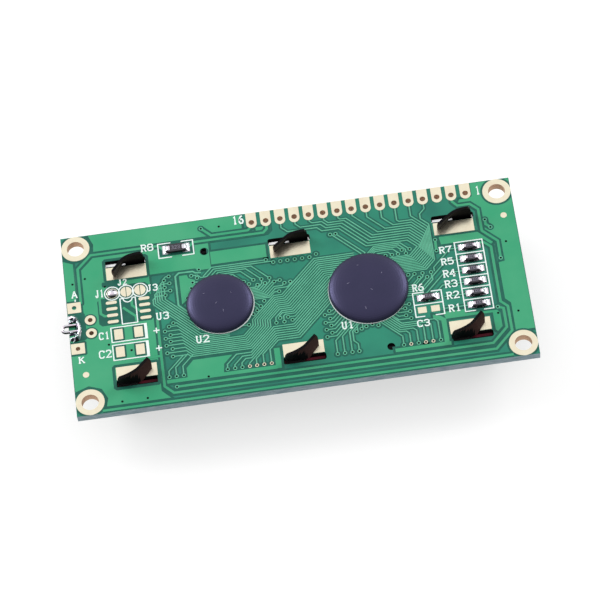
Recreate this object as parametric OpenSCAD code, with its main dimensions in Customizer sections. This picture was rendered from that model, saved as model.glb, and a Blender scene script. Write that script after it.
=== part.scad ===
// Character display module, built as the real one is: a drilled circuit board
// with its lands and chip parts, a folded steel bezel whose tongues pass
// through slots and are slit and twisted to lock, and between them the glass
// cell, contact strips and edge-lit backlight.
// Units are millimetres. The origin is the centre of the four mounting holes
// on the board's display face. +X runs along the board, +Y towards the header
// row, +Z out of the component face, so the bezel's face is the lowest part.

/* [Board] */
// Length of the circuit board
board_l = 80; // [80:0.5:84]
// Width of the circuit board
board_w = 36; // [36:0.5:38]
// Thickness of the circuit board
board_t = 1.6; // [1.4:0.1:1.8]
// Thickness of the plated lands on the board
land_t = 0.05; // [0.04:0.01:0.08]

/* [Mounting holes] */
// Distance of a mounting hole's centre from both edges at its corner
mount_inset = 2.5; // [2.5:0.1:3]
// Diameter of a mounting hole
mount_d = 3; // [2.6:0.1:3.2]
// Diameter of the plated ring round a mounting hole
mount_ring_d = 5; // [4.6:0.1:5]

/* [Header row] */
// Number of header holes
pin_count = 16; // [14:1:16]
// Spacing of the header holes
pin_pitch = 2.54; // [2.5:0.02:2.54]
// Distance of the first header hole from the board's right end
pin_end = 8; // [7.8:0.1:8.5]
// Distance of the header row from the board's edge
pin_edge = 2; // [1.8:0.1:2.2]
// Diameter of a header hole
pin_hole_d = 1; // [0.9:0.05:1.1]
// Width of a header land
pin_land_w = 1.85; // [1.7:0.05:1.95]

/* [Bezel] */
// Board left clear beyond each end of the bezel
bezel_end = 4.4; // [4.2:0.1:4.8]
// Outer width of the bezel
bezel_w = 24.6; // [24.4:0.1:24.8]
// Height of the bezel below the board
bezel_h = 7; // [6.8:0.1:8]
// Thickness of the bezel's sheet
sheet_t = 0.5; // [0.4:0.05:0.55]
// Inner radius of the bezel's folds
fold_r = 0.3; // [0.2:0.05:0.4]
// Drop of the bezel's centre line below the board's
bezel_drop = 0.64; // [0.5:0.02:0.8]
// Width of the face beside the window's ends
frame_end = 3.35; // [3:0.05:4]
// Width of the face along the window's long sides
frame_side = 4.3; // [4:0.1:5]

/* [Locking tabs] */
// Distance of an outer tab's centre from the bezel's end
tab_end = 6.6; // [6.2:0.1:7]
// Width of a tongue where it enters its slot
tongue_w = 7.1; // [6.9:0.05:7.2]
// Height of the tabs above the board
tab_rise = 2.4; // [2:0.1:2.6]
// Clearance of the slot round the tongue, along the board
slot_clear_l = 0.2; // [0.15:0.05:0.3]
// Clearance of the slot on each face of the tongue
slot_clear_w = 0.45; // [0.35:0.05:0.5]
// Turn of the arms in the header row, left to right, in degrees
turn_upper = [58, 43, 43];
// Turn of the arms in the other row, left to right, in degrees
turn_lower = [50, 50, 53];
// Lean of the standing half in the header row, in degrees
lean_upper = 3; // [0:1:8]
// Lean of the standing half in the other row, in degrees
lean_lower = 12; // [6:1:16]

/* [Display cell] */
// Thickness of each glass plate
glass_t = 1.1; // [0.7:0.1:1.1]
// Thickness of the polarisers, diffuser and reflector
film_t = 0.2; // [0.15:0.05:0.25]
// Clearance between the glass and the inside of the bezel
glass_clear = 0.25; // [0.15:0.05:0.4]
// Width of the contact ledge along each long edge of the front glass
ledge_w = 2.55; // [2.5:0.05:2.7]
// Width of a contact strip
strip_w = 1.8; // [1.6:0.1:1.9]
// Distance of a contact strip's end from the holder's end
strip_end = 2; // [1.5:0.1:3]
// Thickness of the holder's floor
floor_t = 0.6; // [0.5:0.05:0.8]
// Clearance between parts that drop into one another
drop_clear = 0.05; // [0.03:0.01:0.1]

/* [Chips] */
// Radius of the resin cover at the board's middle left
driver_r = 5.9; // [5:0.1:6.1]
// Radius of the resin cover at the board's middle right
controller_r = 7; // [6:0.1:7.2]
// Height of the resin covers
cover_h = 1.45; // [1.2:0.05:1.8]

/* [Build] */
// Part to draw

/* [Hidden] */
$fn = 48;
eps = 0.01;

// Plan of the board and of the bezel's locking line
mount_dx = board_l - 2 * mount_inset;
mount_dy = board_w - 2 * mount_inset;
pin_x = board_l / 2 - pin_end;
pin_y = board_w / 2 - pin_edge;
bezel_l = board_l - 2 * bezel_end;
bezel_y = -bezel_drop;
window_l = bezel_l - 2 * frame_end;
window_w = bezel_w - 2 * frame_side;
tab_pitch = bezel_l / 2 - tab_end;

// Levels, from the bezel's face up to the board
top_z = board_t + land_t;
inner_z = sheet_t - bezel_h;
front_glass_z = inner_z + film_t;
rear_glass_z = front_glass_z + glass_t;
rear_film_z = rear_glass_z + glass_t;
diffuser_z = rear_film_z + film_t;
guide_z = diffuser_z + film_t;
reflector_z = -floor_t - film_t;
guide_t = reflector_z - guide_z;

// Plan sizes inside the bezel
room_l = bezel_l - 2 * sheet_t;
room_w = bezel_w - 2 * sheet_t;
glass_l = room_l - 2 * glass_clear;
glass_w = room_w - 2 * glass_clear;
rear_glass_w = glass_w - 2 * ledge_w;
holder_l = room_l - glass_clear;
holder_w = room_w - glass_clear;
strip_clear = 0.25;
strip_y = rear_glass_w / 2 + strip_clear + strip_w / 2;
strip_l = holder_l - 2 * strip_end;
wall_out = strip_y - strip_w / 2 - drop_clear;
wall_t = 0.6;
well_w = 2 * (wall_out - wall_t);
end_wall = 1.2;
well_x0 = -holder_l / 2 + end_wall;
well_x1 = holder_l / 2 - end_wall;
light_y = well_w / 2 - drop_clear;
led_t = 0.6;
led_deep = 0.9;
led_w = 3;
led_h = 1.5;
led_pitch = 4.2;
led_board_w = 12;
led_x = well_x0 + 1;
guide_x0 = led_x + led_t + led_deep + drop_clear;
guide_x1 = well_x1 - drop_clear;

// Folds and tabs
fold_out = fold_r + sheet_t;
relief = 0.35;
row_y = bezel_w / 2 - sheet_t / 2;
slot_l = tongue_w + 2 * slot_clear_l;
slot_w = sheet_t + 2 * slot_clear_w;
slot_corner = 0.45;
slit_z = board_t - 0.45;
arm_z = board_t + 0.1;
tab_top = board_t + tab_rise;
root_l = tongue_w / 2 - 0.2;
arm_l = tongue_w / 2 - 0.05;
bend_l = 1.1;
tail_y = [-3.1, 2.3];
tail_z = -0.7;

// Small parts of the board, each placed by its distance from the nearest
// end or edge, or by its height from the board's middle line
left_x = -board_l / 2;
right_x = board_l / 2;
prong_w = 1.1;
prong_off = 0.5;
prong_x = tab_pitch / 2 + prong_off;
prong_hole_d = 1.4;
pin_land_off = 0.22;
terminal_end = 1.3;
terminal_x = left_x + terminal_end;
terminal_y = [3.55, -4.7];
terminal_size = [2.4, 2.1];
terminal_hole_d = 0.8;
test_end = 3.88;
test_x = left_x + test_end;
test_y = [0.7, -1.95];
test_d = 1.9;
test_hole_d = 0.84;
target_d = 1.12;
target_end = [2.25, 2];
target_y = [-10.05, 10.4];
target_at = [[left_x + target_end[0], target_y[0]],
             [right_x - target_end[1], target_y[1]]];
driver_end = 26.65;
driver_at = [left_x + driver_end, 0.38];
controller_end = 27.4;
controller_at = [right_x - controller_end, -0.6];
jumper_end = [8.15, 10.6, 13.05];
jumper_y = 5.4;
jumper_at = [for (d = jumper_end) [left_x + d, jumper_y]];
jumper_r = 1;
jumper_gap = 0.12;
chip_end = [7.85, 13.6];
chip_x = [for (d = chip_end) left_x + d];
chip_y = [3.6, 2.35, 1.05, -0.25];
chip_land = [1.95, 0.6, 0.29];
capacitor_end = [8.55, 12.05];
capacitor_x = [for (d = capacitor_end) left_x + d];
capacitor_y = [-2.93, -6.43];
capacitor_land = [1.5, 2.05];
column_end = 8.88;
column_x = right_x - column_end;
column_y = [5.03, 2.66, 0.31, -2.02, -4.35, -6.67];
lone_off = 8.5;
lone_at = [column_x - lone_off, -4.02];
spare_off = 0.22;
spare_at = [lone_at.x - spare_off, -6.4];
spare_land = [1.5, 1.2];
spare_gap = 2.3;
small_at = concat([for (y = column_y) [column_x, y]], [lone_at]);
small_size = [2, 1.25, 0.5];
small_land = [1.1, 1.35];
long_end = 20.15;
long_edge = 5.25;
long_at = [left_x + long_end, board_w / 2 - long_edge];
long_size = [3.2, 1.6, 0.55];
long_land = [1.3, 1.75];
land_under = 0.15;
foot = 0.85;
cap_l = 0.4;
skin = 0.05;
die_size = [4.2, 3.4, 0.35];
edge_y = [-3.1, 2.1];
edge_l = 2.2;
lead_y = [-2.2, 1.2];
lead_x = left_x + 0.6;
lead_w = 0.8;
lead_t = 0.25;
led_top = -floor_t - drop_clear;
link_r = 0.62;
link_d = 0.56;
link_at = [left_x - 0.45, -0.72];
link_leg = 1.9;

// ---------------------------------------------------------------- helpers

// A plate with round corners, from z0 up, centred on the origin in plan
module plate(l, w, t, r, z0 = 0) {
  translate([0, 0, z0]) linear_extrude(t) rounded(l, w, r);
}

module rounded(l, w, r) {
  square([l - 2 * r, w], center = true);
  square([l, w - 2 * r], center = true);
  for (i = [-1, 1], j = [-1, 1])
    translate([i * (l / 2 - r), j * (w / 2 - r)]) circle(r);
}

// A box centred in plan between two heights
module block(l, w, z0, z1) {
  translate([-l / 2, -w / 2, z0]) cube([l, w, z1 - z0]);
}

// A land: a 2-D shape given the land's thickness on the component face
module land() {
  translate([0, 0, board_t]) linear_extrude(land_t) children();
}

// The same land on both faces
module both_lands() {
  land() children();
  translate([0, 0, -land_t]) linear_extrude(land_t) children();
}

// A spherical cap with a base radius r and a height h
module dome(r, h) {
  ball = (r * r + h * h) / (2 * h);
  intersection() {
    translate([0, 0, h - ball]) sphere(ball);
    translate([-r - 1, -r - 1, 0]) cube([2 * r + 2, 2 * r + 2, h + 1]);
  }
}

function pin_at(i) = [pin_x - i * pin_pitch, pin_y];

module at_mounts() {
  for (i = [-1, 1], j = [-1, 1])
    translate([i * mount_dx / 2, j * mount_dy / 2]) children();
}

module at_pins() {
  for (i = [0 : pin_count - 1]) translate(pin_at(i)) children();
}

// The two locating prongs, on the walls' centre lines at opposite corners
module at_prongs() {
  translate([-prong_x, bezel_y + row_y]) children();
  translate([prong_x, bezel_y - row_y]) children();
}

// Each slot in turn; the header row is turned half round, so the first child
// always has its inner side towards +Y
module at_slots() {
  for (i = [-1 : 1]) {
    translate([i * tab_pitch, bezel_y - row_y]) children();
    translate([i * tab_pitch, bezel_y + row_y]) rotate(180) children();
  }
}

// ------------------------------------------------------------------ board

module circuit_board() {
  color([0.16, 0.5, 0.4]) difference() {
    block(board_l, board_w, 0, board_t);
    translate([0, 0, -1]) {
      at_mounts() cylinder(d = mount_d, h = board_t + 2);
      at_pins() cylinder(d = pin_hole_d, h = board_t + 2);
      at_slots() plate(slot_l, slot_w, board_t + 2, slot_corner);
      at_prongs() cylinder(d = prong_hole_d, h = board_t + 2);
      for (y = terminal_y)
        translate([terminal_x, y]) cylinder(d = terminal_hole_d, h = board_t + 2);
      for (y = test_y)
        translate([test_x, y]) cylinder(d = test_hole_d, h = board_t + 2);
    }
  }
}

module on_board() {
  intersection() {
    children();
    square([board_l, board_w], center = true);
  }
}

module mounting_lands() {
  color([0.92, 0.8, 0.5]) both_lands() on_board() at_mounts() difference() {
    circle(d = mount_ring_d);
    circle(d = mount_d);
  }
}

module header_lands() {
  color([0.92, 0.8, 0.5]) both_lands() at_pins() difference() {
    union() {
      translate([-pin_land_w / 2, -pin_land_off])
        square([pin_land_w, pin_edge + pin_land_off]);
      translate([0, -pin_land_off]) circle(d = pin_land_w);
    }
    circle(d = pin_hole_d);
  }
}

module tab_lands() {
  color([0.92, 0.8, 0.5]) land() at_slots()
    translate([-tongue_w / 2, slot_w / 2 + 0.05]) square([tongue_w, 2.5]);
}

module terminal_lands() {
  color([0.92, 0.8, 0.5]) {
    both_lands() on_board() for (y = terminal_y) translate([terminal_x, y])
      difference() {
        square(terminal_size, center = true);
        circle(d = terminal_hole_d);
      }
    land() for (y = test_y) translate([test_x, y]) difference() {
      circle(d = test_d);
      circle(d = test_hole_d);
    }
  }
}

module jumper_lands() {
  color([0.92, 0.8, 0.5]) land() {
    translate(jumper_at[0]) circle(jumper_r);
    for (i = [1, 2]) translate(jumper_at[i]) difference() {
      circle(jumper_r);
      square([jumper_gap, 3 * jumper_r], center = true);
    }
  }
}

module capacitor_lands() {
  color([0.92, 0.8, 0.5]) land() {
    for (y = capacitor_y, x = capacitor_x)
      translate([x, y]) square(capacitor_land, center = true);
    for (s = [-1, 1]) translate([spare_at.x + s * spare_gap / 2, spare_at.y])
      square(spare_land, center = true);
  }
}

module chip_lands() {
  color([0.92, 0.8, 0.5]) land() for (y = chip_y, x = chip_x)
    translate([x, y]) rounded(chip_land.x, chip_land.y, chip_land.z);
}

// Two lands that reach a little way under a chip's ends
module land_pair(p, size, pad) {
  for (s = [-1, 1])
    translate([p.x + s * (size.x / 2 - land_under - cap_l + pad.x / 2), p.y])
      square(pad, center = true);
}

module resistor_lands() {
  color([0.8, 0.8, 0.8]) land() {
    for (p = small_at) land_pair(p, small_size, small_land);
    land_pair(long_at, long_size, long_land);
  }
}

module target_lands() {
  color([0.92, 0.8, 0.5]) land() {
    for (p = target_at) translate(p) circle(d = target_d);
  }
}

module edge_land() {
  color([0.8, 0.8, 0.8]) both_lands()
    translate([left_x, edge_y[0]]) square([edge_l, edge_y[1] - edge_y[0]]);
}

// ------------------------------------------------------------------ bezel

// Quarter fold between the face and a wall, running along X
module fold(l) {
  translate([-l / 2, 0, 0]) rotate([90, 0, 90]) linear_extrude(l)
    intersection() {
      difference() {
        circle(fold_out);
        circle(fold_r);
      }
      translate([0, -2 * fold_out]) square(2 * fold_out);
    }
}

// One wall with its fold, its outer face on y = 0 and the face towards -Y
module wall(l) {
  translate([0, -fold_out, fold_out - bezel_h]) fold(l);
  translate([-l / 2, -sheet_t, fold_out - bezel_h])
    cube([l, sheet_t, bezel_h - fold_out]);
}

module bezel() {
  long = bezel_l - 2 * fold_out - 2 * relief;
  short = bezel_w - 2 * fold_out - 2 * relief;
  color([0.07, 0.07, 0.08]) {
    translate([0, bezel_y, 0]) difference() {
      union() {
        block(bezel_l - 2 * fold_out, bezel_w - 2 * fold_out, -bezel_h, inner_z);
        for (a = [0, 180]) rotate(a) {
          translate([0, bezel_w / 2, 0]) wall(long);
          rotate(90) translate([0, bezel_l / 2, 0]) wall(short);
        }
      }
      plate(window_l, window_w, 3, 0.4, -bezel_h - 1);
      translate([-bezel_l / 2 - 1, tail_y[0] - bezel_y, tail_z])
        cube([sheet_t + 2, tail_y[1] - tail_y[0], 1]);
    }
    at_prongs() block(prong_w, sheet_t, -eps, board_t - 0.25);
    for (i = [0 : 2]) {
      translate([(i - 1) * tab_pitch, bezel_y - row_y])
        tab(turn_lower[i], lean_lower, 1.5);
      translate([(i - 1) * tab_pitch, bezel_y + row_y])
        rotate(180) tab(turn_upper[i], lean_upper, 3);
    }
  }
}

// A locking tab. The tongue fills its slot up to the slit; above it one half
// stands and the other half is twisted over the board's land.
module tab(turn, lean, power) {
  translate([-tongue_w / 2, -sheet_t / 2, -eps])
    cube([tongue_w, sheet_t, slit_z + eps]);
  translate([-root_l, -sheet_t / 2, 0]) cube([root_l, sheet_t, arm_z]);
  twisted(turn, lean, power);
}

// Heading of the sheet, in degrees, s along the tab from the slit's end and
// t from 0 at the board to 1 at the top. The standing half leans more the
// higher it is and the nearer to the slit; the arm runs on to the full turn.
function heading(s, t, turn, lean, power) =
  s < 0 ? t * (lean + (30 - lean) * pow(1 + s / root_l, power))
        : 30 * t + (turn * (1 - 0.14 * t) - 30 * t) * ease(s / bend_l);

function ease(x) = x >= 1 ? 1 : x * x * (3 - 2 * x);

// Ends of the tab at height t, rounded off near the top
function tab_start(t) = -root_l + 0.45 * pow(max(0, (t - 0.45) / 0.55), 2);
function tab_end(t) = arm_l - 0.2 * pow(max(0, (t - 0.6) / 0.4), 2);

module twisted(turn, lean, power) {
  ns = 16;
  nt = 4;
  // Arc length, heading and centre line at every station
  function s_at(i, t) = i <= 6 ? tab_start(t) * (1 - i / 6)
                               : tab_end(t) * pow((i - 6) / (ns - 6), 1.25);
  function line(t, i = 0, x = undef, y = 0, out = []) =
    let (s = s_at(i, t), x0 = is_undef(x) ? tab_start(t) : x,
         y0 = is_undef(x) ? -0.12 * t : y,
         a = heading(s, t, turn, lean, power),
         next = i < ns ? s_at(i + 1, t) : s,
         m = heading((s + next) / 2, t, turn, lean, power))
    i > ns ? out
           : line(t, i + 1, x0 + (next - s) * cos(m), y0 + (next - s) * sin(m),
                  concat(out, [[x0, y0, a]]));
  rows = [for (j = [0 : nt]) line(j / nt)];
  function side(p, z, k) =
    [p.x - k * sheet_t / 2 * sin(p[2]), p.y + k * sheet_t / 2 * cos(p[2]), z];
  points = [for (k = [-1, 1], j = [0 : nt], i = [0 : ns])
    side(rows[j][i], arm_z + (tab_top - arm_z) * j / nt, k)];
  function id(k, j, i) = (k * (nt + 1) + j) * (ns + 1) + i;
  faces = concat(
    [for (j = [0 : nt - 1], i = [0 : ns - 1])
      each [[id(0, j, i), id(0, j + 1, i), id(0, j + 1, i + 1)],
            [id(0, j, i), id(0, j + 1, i + 1), id(0, j, i + 1)]]],
    [for (j = [0 : nt - 1], i = [0 : ns - 1])
      each [[id(1, j, i), id(1, j + 1, i + 1), id(1, j + 1, i)],
            [id(1, j, i), id(1, j, i + 1), id(1, j + 1, i + 1)]]],
    [for (i = [0 : ns - 1])
      each [[id(0, 0, i), id(0, 0, i + 1), id(1, 0, i + 1)],
            [id(0, 0, i), id(1, 0, i + 1), id(1, 0, i)],
            [id(0, nt, i), id(1, nt, i + 1), id(0, nt, i + 1)],
            [id(0, nt, i), id(1, nt, i), id(1, nt, i + 1)]]],
    [for (j = [0 : nt - 1])
      each [[id(0, j, 0), id(1, j, 0), id(1, j + 1, 0)],
            [id(0, j, 0), id(1, j + 1, 0), id(0, j + 1, 0)],
            [id(0, j, ns), id(1, j + 1, ns), id(1, j, ns)],
            [id(0, j, ns), id(0, j + 1, ns), id(1, j + 1, ns)]]]);
  polyhedron(points, faces);
}

// ----------------------------------------------------------- display cell

module in_bezel() {
  translate([0, bezel_y, 0]) children();
}

module front_polariser() {
  color([0.25, 0.3, 0.2]) in_bezel()
    block(glass_l - 1.6, rear_glass_w - 0.4, inner_z, front_glass_z);
}

module front_glass() {
  color([0.7, 0.85, 0.8, 0.5]) in_bezel()
    block(glass_l, glass_w, front_glass_z, rear_glass_z);
}

module rear_glass() {
  color([0.7, 0.85, 0.8, 0.5]) in_bezel()
    block(glass_l, rear_glass_w, rear_glass_z, rear_film_z);
}

module rear_polariser() {
  color([0.3, 0.35, 0.25]) in_bezel()
    block(well_x1 - well_x0 - 2 * drop_clear, 2 * light_y, rear_film_z, diffuser_z);
}

module diffuser() {
  color([0.95, 0.95, 0.93]) in_bezel()
    block(well_x1 - well_x0 - 2 * drop_clear, 2 * light_y, diffuser_z, guide_z);
}

module between(x0, x1, half_w, z0, z1) {
  translate([x0, -half_w, z0]) cube([x1 - x0, 2 * half_w, z1 - z0]);
}

module light_guide() {
  color([0.9, 0.95, 0.95, 0.6]) in_bezel()
    between(guide_x0, guide_x1, light_y, guide_z, reflector_z);
}

module reflector() {
  color([0.97, 0.97, 0.97]) in_bezel()
    between(guide_x0, guide_x1, light_y, reflector_z, reflector_z + film_t);
}

// Black holder: a floor against the board, a well for the light guide that
// stands on the rear glass, and outer rails on the front glass
module holder_frame() {
  color([0.06, 0.06, 0.07]) in_bezel() difference() {
    block(holder_l, holder_w, rear_glass_z, 0);
    translate([0, 0, rear_glass_z - 1]) {
      for (s = [-1, 1]) translate([0, s * strip_y])
        plate(strip_l + 2 * drop_clear, strip_w + 2 * drop_clear, bezel_h + 2, 0.1);
      block(holder_l + 1, rear_glass_w + 2 * drop_clear, 0, glass_t + 1);
    }
    translate([well_x0, -well_w / 2, rear_film_z - 1])
      cube([well_x1 - well_x0, well_w, reflector_z + film_t - rear_film_z + 1]);
    translate([-holder_l / 2 - 1, tail_y[0] - bezel_y, -floor_t - eps])
      cube([led_x + led_t + drop_clear + holder_l / 2 + 1, tail_y[1] - tail_y[0], floor_t + 1]);
  }
}

module led_board() {
  color([0.85, 0.87, 0.85]) in_bezel()
    translate([led_x, -led_board_w / 2, guide_z + film_t / 2])
      cube([led_t, led_board_w, led_top - guide_z - film_t / 2]);
}

module led_packages() {
  color([0.95, 0.92, 0.7]) in_bezel() for (i = [-1 : 1])
    translate([led_x + led_t, i * led_pitch - led_w / 2, guide_z + (guide_t - led_h) / 2])
      cube([led_deep, led_w, led_h]);
}

// Two bent leads from the backlight's own board, through the notch in the
// bezel's wall, to the edge land on the board's display face
module led_leads() {
  color([0.8, 0.8, 0.82]) for (y = lead_y) {
    translate([lead_x, y - lead_w / 2, -land_t - lead_t])
      cube([led_x + led_t - lead_x, lead_w, lead_t]);
    translate([led_x, y - lead_w / 2, led_top])
      cube([led_t, lead_w, -land_t - lead_t - led_top]);
  }
}

module contact_strip() {
  in_bezel() block(strip_l, strip_w, rear_glass_z, 0);
}

module contact_strip_upper() {
  color([0.75, 0.72, 0.7]) translate([0, strip_y, 0]) contact_strip();
}

module contact_strip_lower() {
  color([0.75, 0.72, 0.7]) translate([0, -strip_y, 0]) contact_strip();
}

// ------------------------------------------------------------------ chips

// Profile of a resin cover: steep at the rim, nearly flat on top
function cover_side(r) = [for (a = [0 : 7.5 : 90])
  [r * pow(cos(a), 0.62), cover_h * pow(sin(a), 0.8)]];

module cover(at, r) {
  translate([at.x, at.y, board_t]) difference() {
    rotate_extrude($fn = 96)
      polygon(concat([[0, 0]], cover_side(r)));
    block(die_size.x, die_size.y, -1, die_size.z);
  }
}

module driver_cover() {
  color([0.2, 0.19, 0.26]) cover(driver_at, driver_r);
}

module controller_cover() {
  color([0.2, 0.19, 0.26]) cover(controller_at, controller_r);
}

module die(at) {
  color([0.5, 0.5, 0.55]) translate([at.x, at.y, board_t])
    block(die_size.x, die_size.y, 0, die_size.z);
}

module driver_die() { die(driver_at); }

module controller_die() { die(controller_at); }

// Chip resistor: ceramic core, tinned end caps folded round it and a dark
// glaze on top between the caps
module core(p, size) {
  translate([p.x, p.y, top_z + skin])
    block(size.x - 2 * skin, size.y - 2 * skin, 0, size.z - 2 * skin);
}

module coat(p, size) {
  translate([p.x, p.y, top_z + size.z - skin])
    block(size.x - 2 * cap_l, size.y - 2 * skin, 0, skin);
}

module caps(p, size) {
  difference() {
    translate([p.x, p.y, top_z]) for (s = [-1, 1])
      translate([s * (size.x - cap_l) / 2, 0]) block(cap_l, size.y, 0, size.z);
    core(p, size);
  }
}

// Solder meniscus from the land up to the cap's edge
module menisci(p, size) {
  rise = size.z * 0.85;
  for (s = [0, 180]) translate([p.x, p.y, top_z]) rotate(s)
    translate([size.x / 2, size.y / 2, 0]) rotate([90, 0, 0])
      linear_extrude(size.y) difference() {
        square([foot, rise]);
        translate([foot + 0.12, rise + 0.12])
          scale([foot / rise, 1]) circle(rise);
      }
}

module resistor_cores() {
  color([0.9, 0.9, 0.88]) for (p = small_at) core(p, small_size);
}

module resistor_coats() {
  color([0.1, 0.1, 0.12]) for (p = small_at) coat(p, small_size);
}

module resistor_caps() {
  color([0.82, 0.82, 0.84]) for (p = small_at) caps(p, small_size);
}

module resistor_solder() {
  color([0.85, 0.85, 0.88]) for (p = small_at) menisci(p, small_size);
}

module long_resistor_core() {
  color([0.9, 0.9, 0.88]) core(long_at, long_size);
}

module long_resistor_coat() {
  color([0.1, 0.1, 0.12]) coat(long_at, long_size);
}

module long_resistor_caps() {
  color([0.82, 0.82, 0.84]) caps(long_at, long_size);
}

module long_resistor_solder() {
  color([0.85, 0.85, 0.88]) menisci(long_at, long_size);
}

// ------------------------------------------------------------ edge joints

// Hairpin of tinned wire whose bend stands past the board's left edge
module edge_link() {
  color([0.78, 0.78, 0.82]) translate([link_at.x, link_at.y, top_z + link_d / 2]) {
    rotate([0, 0, 90]) rotate_extrude(angle = 180)
      translate([link_r, 0]) circle(d = link_d);
    for (s = [-1, 1]) translate([0, s * link_r, 0]) rotate([0, 90, 0])
      cylinder(d = link_d, h = link_leg);
  }
}

// Solder that buries the hairpin's legs and runs together inboard
module edge_solder() {
  color([0.85, 0.85, 0.9]) difference() {
    intersection() {
      translate([left_x, 0, top_z]) {
        translate([0.8, 1.1, 0]) dome(1, 0.75);
        translate([1.15, 0.1, 0]) dome(0.8, 0.72);
        translate([1.45, -0.8, 0]) dome(0.72, 0.5);
        translate([1.25, -1.7, 0]) dome(0.85, 0.75);
        translate([0.85, -2.2, 0]) dome(0.85, 0.72);
      }
      translate([left_x, edge_y[0], top_z])
        cube([edge_l, edge_y[1] - edge_y[0], 3]);
    }
    edge_link();
  }
}

module jumper_solder() {
  color([0.85, 0.85, 0.9])
    translate([jumper_at[0].x, jumper_at[0].y, top_z]) dome(0.92, 0.5);
}

// ------------------------------------------------------------------ build

circuit_board();
mounting_lands();
header_lands();
tab_lands();
terminal_lands();
jumper_lands();
capacitor_lands();
chip_lands();
resistor_lands();
target_lands();
edge_land();
bezel();
front_polariser();
front_glass();
rear_glass();
rear_polariser();
diffuser();
light_guide();
reflector();
holder_frame();
led_board();
led_packages();
led_leads();
contact_strip_upper();
contact_strip_lower();
driver_cover();
controller_cover();
driver_die();
controller_die();
resistor_cores();
resistor_coats();
resistor_caps();
resistor_solder();
long_resistor_core();
long_resistor_coat();
long_resistor_caps();
long_resistor_solder();
edge_link();
edge_solder();
jumper_solder();
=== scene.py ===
# %% [markdown]
# # A character display module, dressed in Blender
#
# The frame holds the real pieces at their real size: a printed circuit board, a folded steel bezel
# held by six twisted tabs, the glass cell, the backlight and the chips.  This lesson gives them their
# finish and adds what is too thin for a solid: the copper tracks under the green resist, the white
# print, the plated via holes and the flow of the solder.  Every length below is in millimetres in the
# board's own axes, X along the board and Y across it, and turns to metres only where a mesh is made.

# %% Load the frame
import math

import bpy
import numpy as np
from mathutils import Matrix, Vector
from mathutils.geometry import tessellate_polygon


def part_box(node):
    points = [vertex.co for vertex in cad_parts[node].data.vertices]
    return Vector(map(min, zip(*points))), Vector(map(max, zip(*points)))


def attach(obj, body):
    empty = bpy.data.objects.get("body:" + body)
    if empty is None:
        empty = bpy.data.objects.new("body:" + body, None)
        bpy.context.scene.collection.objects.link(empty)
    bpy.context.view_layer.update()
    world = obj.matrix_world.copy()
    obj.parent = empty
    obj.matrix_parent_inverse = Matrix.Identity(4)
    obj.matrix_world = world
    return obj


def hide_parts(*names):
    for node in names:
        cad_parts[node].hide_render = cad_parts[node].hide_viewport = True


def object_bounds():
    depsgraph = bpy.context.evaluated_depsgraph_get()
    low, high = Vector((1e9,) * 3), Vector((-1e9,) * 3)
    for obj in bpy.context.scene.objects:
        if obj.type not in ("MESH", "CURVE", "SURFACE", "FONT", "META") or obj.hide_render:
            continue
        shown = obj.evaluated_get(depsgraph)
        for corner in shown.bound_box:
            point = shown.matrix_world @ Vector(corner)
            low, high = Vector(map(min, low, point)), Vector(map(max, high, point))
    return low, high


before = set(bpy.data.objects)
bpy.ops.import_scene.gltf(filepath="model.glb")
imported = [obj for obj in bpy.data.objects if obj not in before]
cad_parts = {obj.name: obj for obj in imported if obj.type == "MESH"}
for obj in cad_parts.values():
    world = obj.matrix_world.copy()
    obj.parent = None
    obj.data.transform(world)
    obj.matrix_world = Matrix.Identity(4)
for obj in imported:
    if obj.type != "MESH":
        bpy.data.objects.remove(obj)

CAD_BOX = [list(corner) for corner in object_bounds()]
MM = 0.001


def box_mm(node):
    """Lowest and highest corner of a node, in millimetres."""
    low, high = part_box(node)
    return np.array(low) / MM, np.array(high) / MM


BOARD_LOW, BOARD_HIGH = box_mm("circuit_board")
LEFT, RIGHT = BOARD_LOW[0], BOARD_HIGH[0]
FRONT, BACK = BOARD_LOW[1], BOARD_HIGH[1]
TOP = BOARD_HIGH[2]
LAND_TOP = box_mm("tab_lands")[1][2]
FLOOR_Z = CAD_BOX[0][2]
print("board", RIGHT - LEFT, "x", BACK - FRONT, "mm, upper face at", TOP)

# %% [markdown]
# ## The camera
#
# A long lens far away keeps the board nearly parallel-sided, as a catalogue picture of a small part
# does.  The camera looks down at two thirds of a right angle and is rolled a little, so the long side
# climbs to the right.  Its three axes are written out from those angles.

# %% Camera
AIM = np.array([0.532, -1.045, TOP]) * MM
AZIMUTH, ELEVATION, ROLL = (math.radians(a) for a in (-0.15, 59.662, -7.718))
DISTANCE = 0.54582
LENS = 188.45
SENSOR = 36.0


def camera_axes(azimuth, elevation, roll):
    """Back points from the aim to the camera; right is level, up closes the frame; roll turns both."""
    back = np.array([math.sin(azimuth) * math.cos(elevation),
                     -math.cos(azimuth) * math.cos(elevation), math.sin(elevation)])
    right = np.array([math.cos(azimuth), math.sin(azimuth), 0.0])
    up = np.cross(back, right)
    return (math.cos(roll) * right + math.sin(roll) * up,
            -math.sin(roll) * right + math.cos(roll) * up, back)


def stand(axes, distance):
    """Place and turn of a camera or lamp: its axes are the columns, and it stands away from the aim
    along the third."""
    pose = Matrix.Identity(4)
    for column, axis in enumerate(axes):
        for row in range(3):
            pose[row][column] = axis[row]
    pose.translation = Vector(AIM + axes[2] * distance)
    return pose


camera_data = bpy.data.cameras.new("camera")
camera_data.lens = LENS
camera_data.sensor_width = SENSOR
camera = bpy.data.objects.new("camera", camera_data)
bpy.context.scene.collection.objects.link(camera)
camera.matrix_world = stand(camera_axes(AZIMUTH, ELEVATION, ROLL), DISTANCE)
bpy.context.scene.camera = camera
print("camera at", [round(v, 4) for v in camera.matrix_world.translation])

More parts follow.
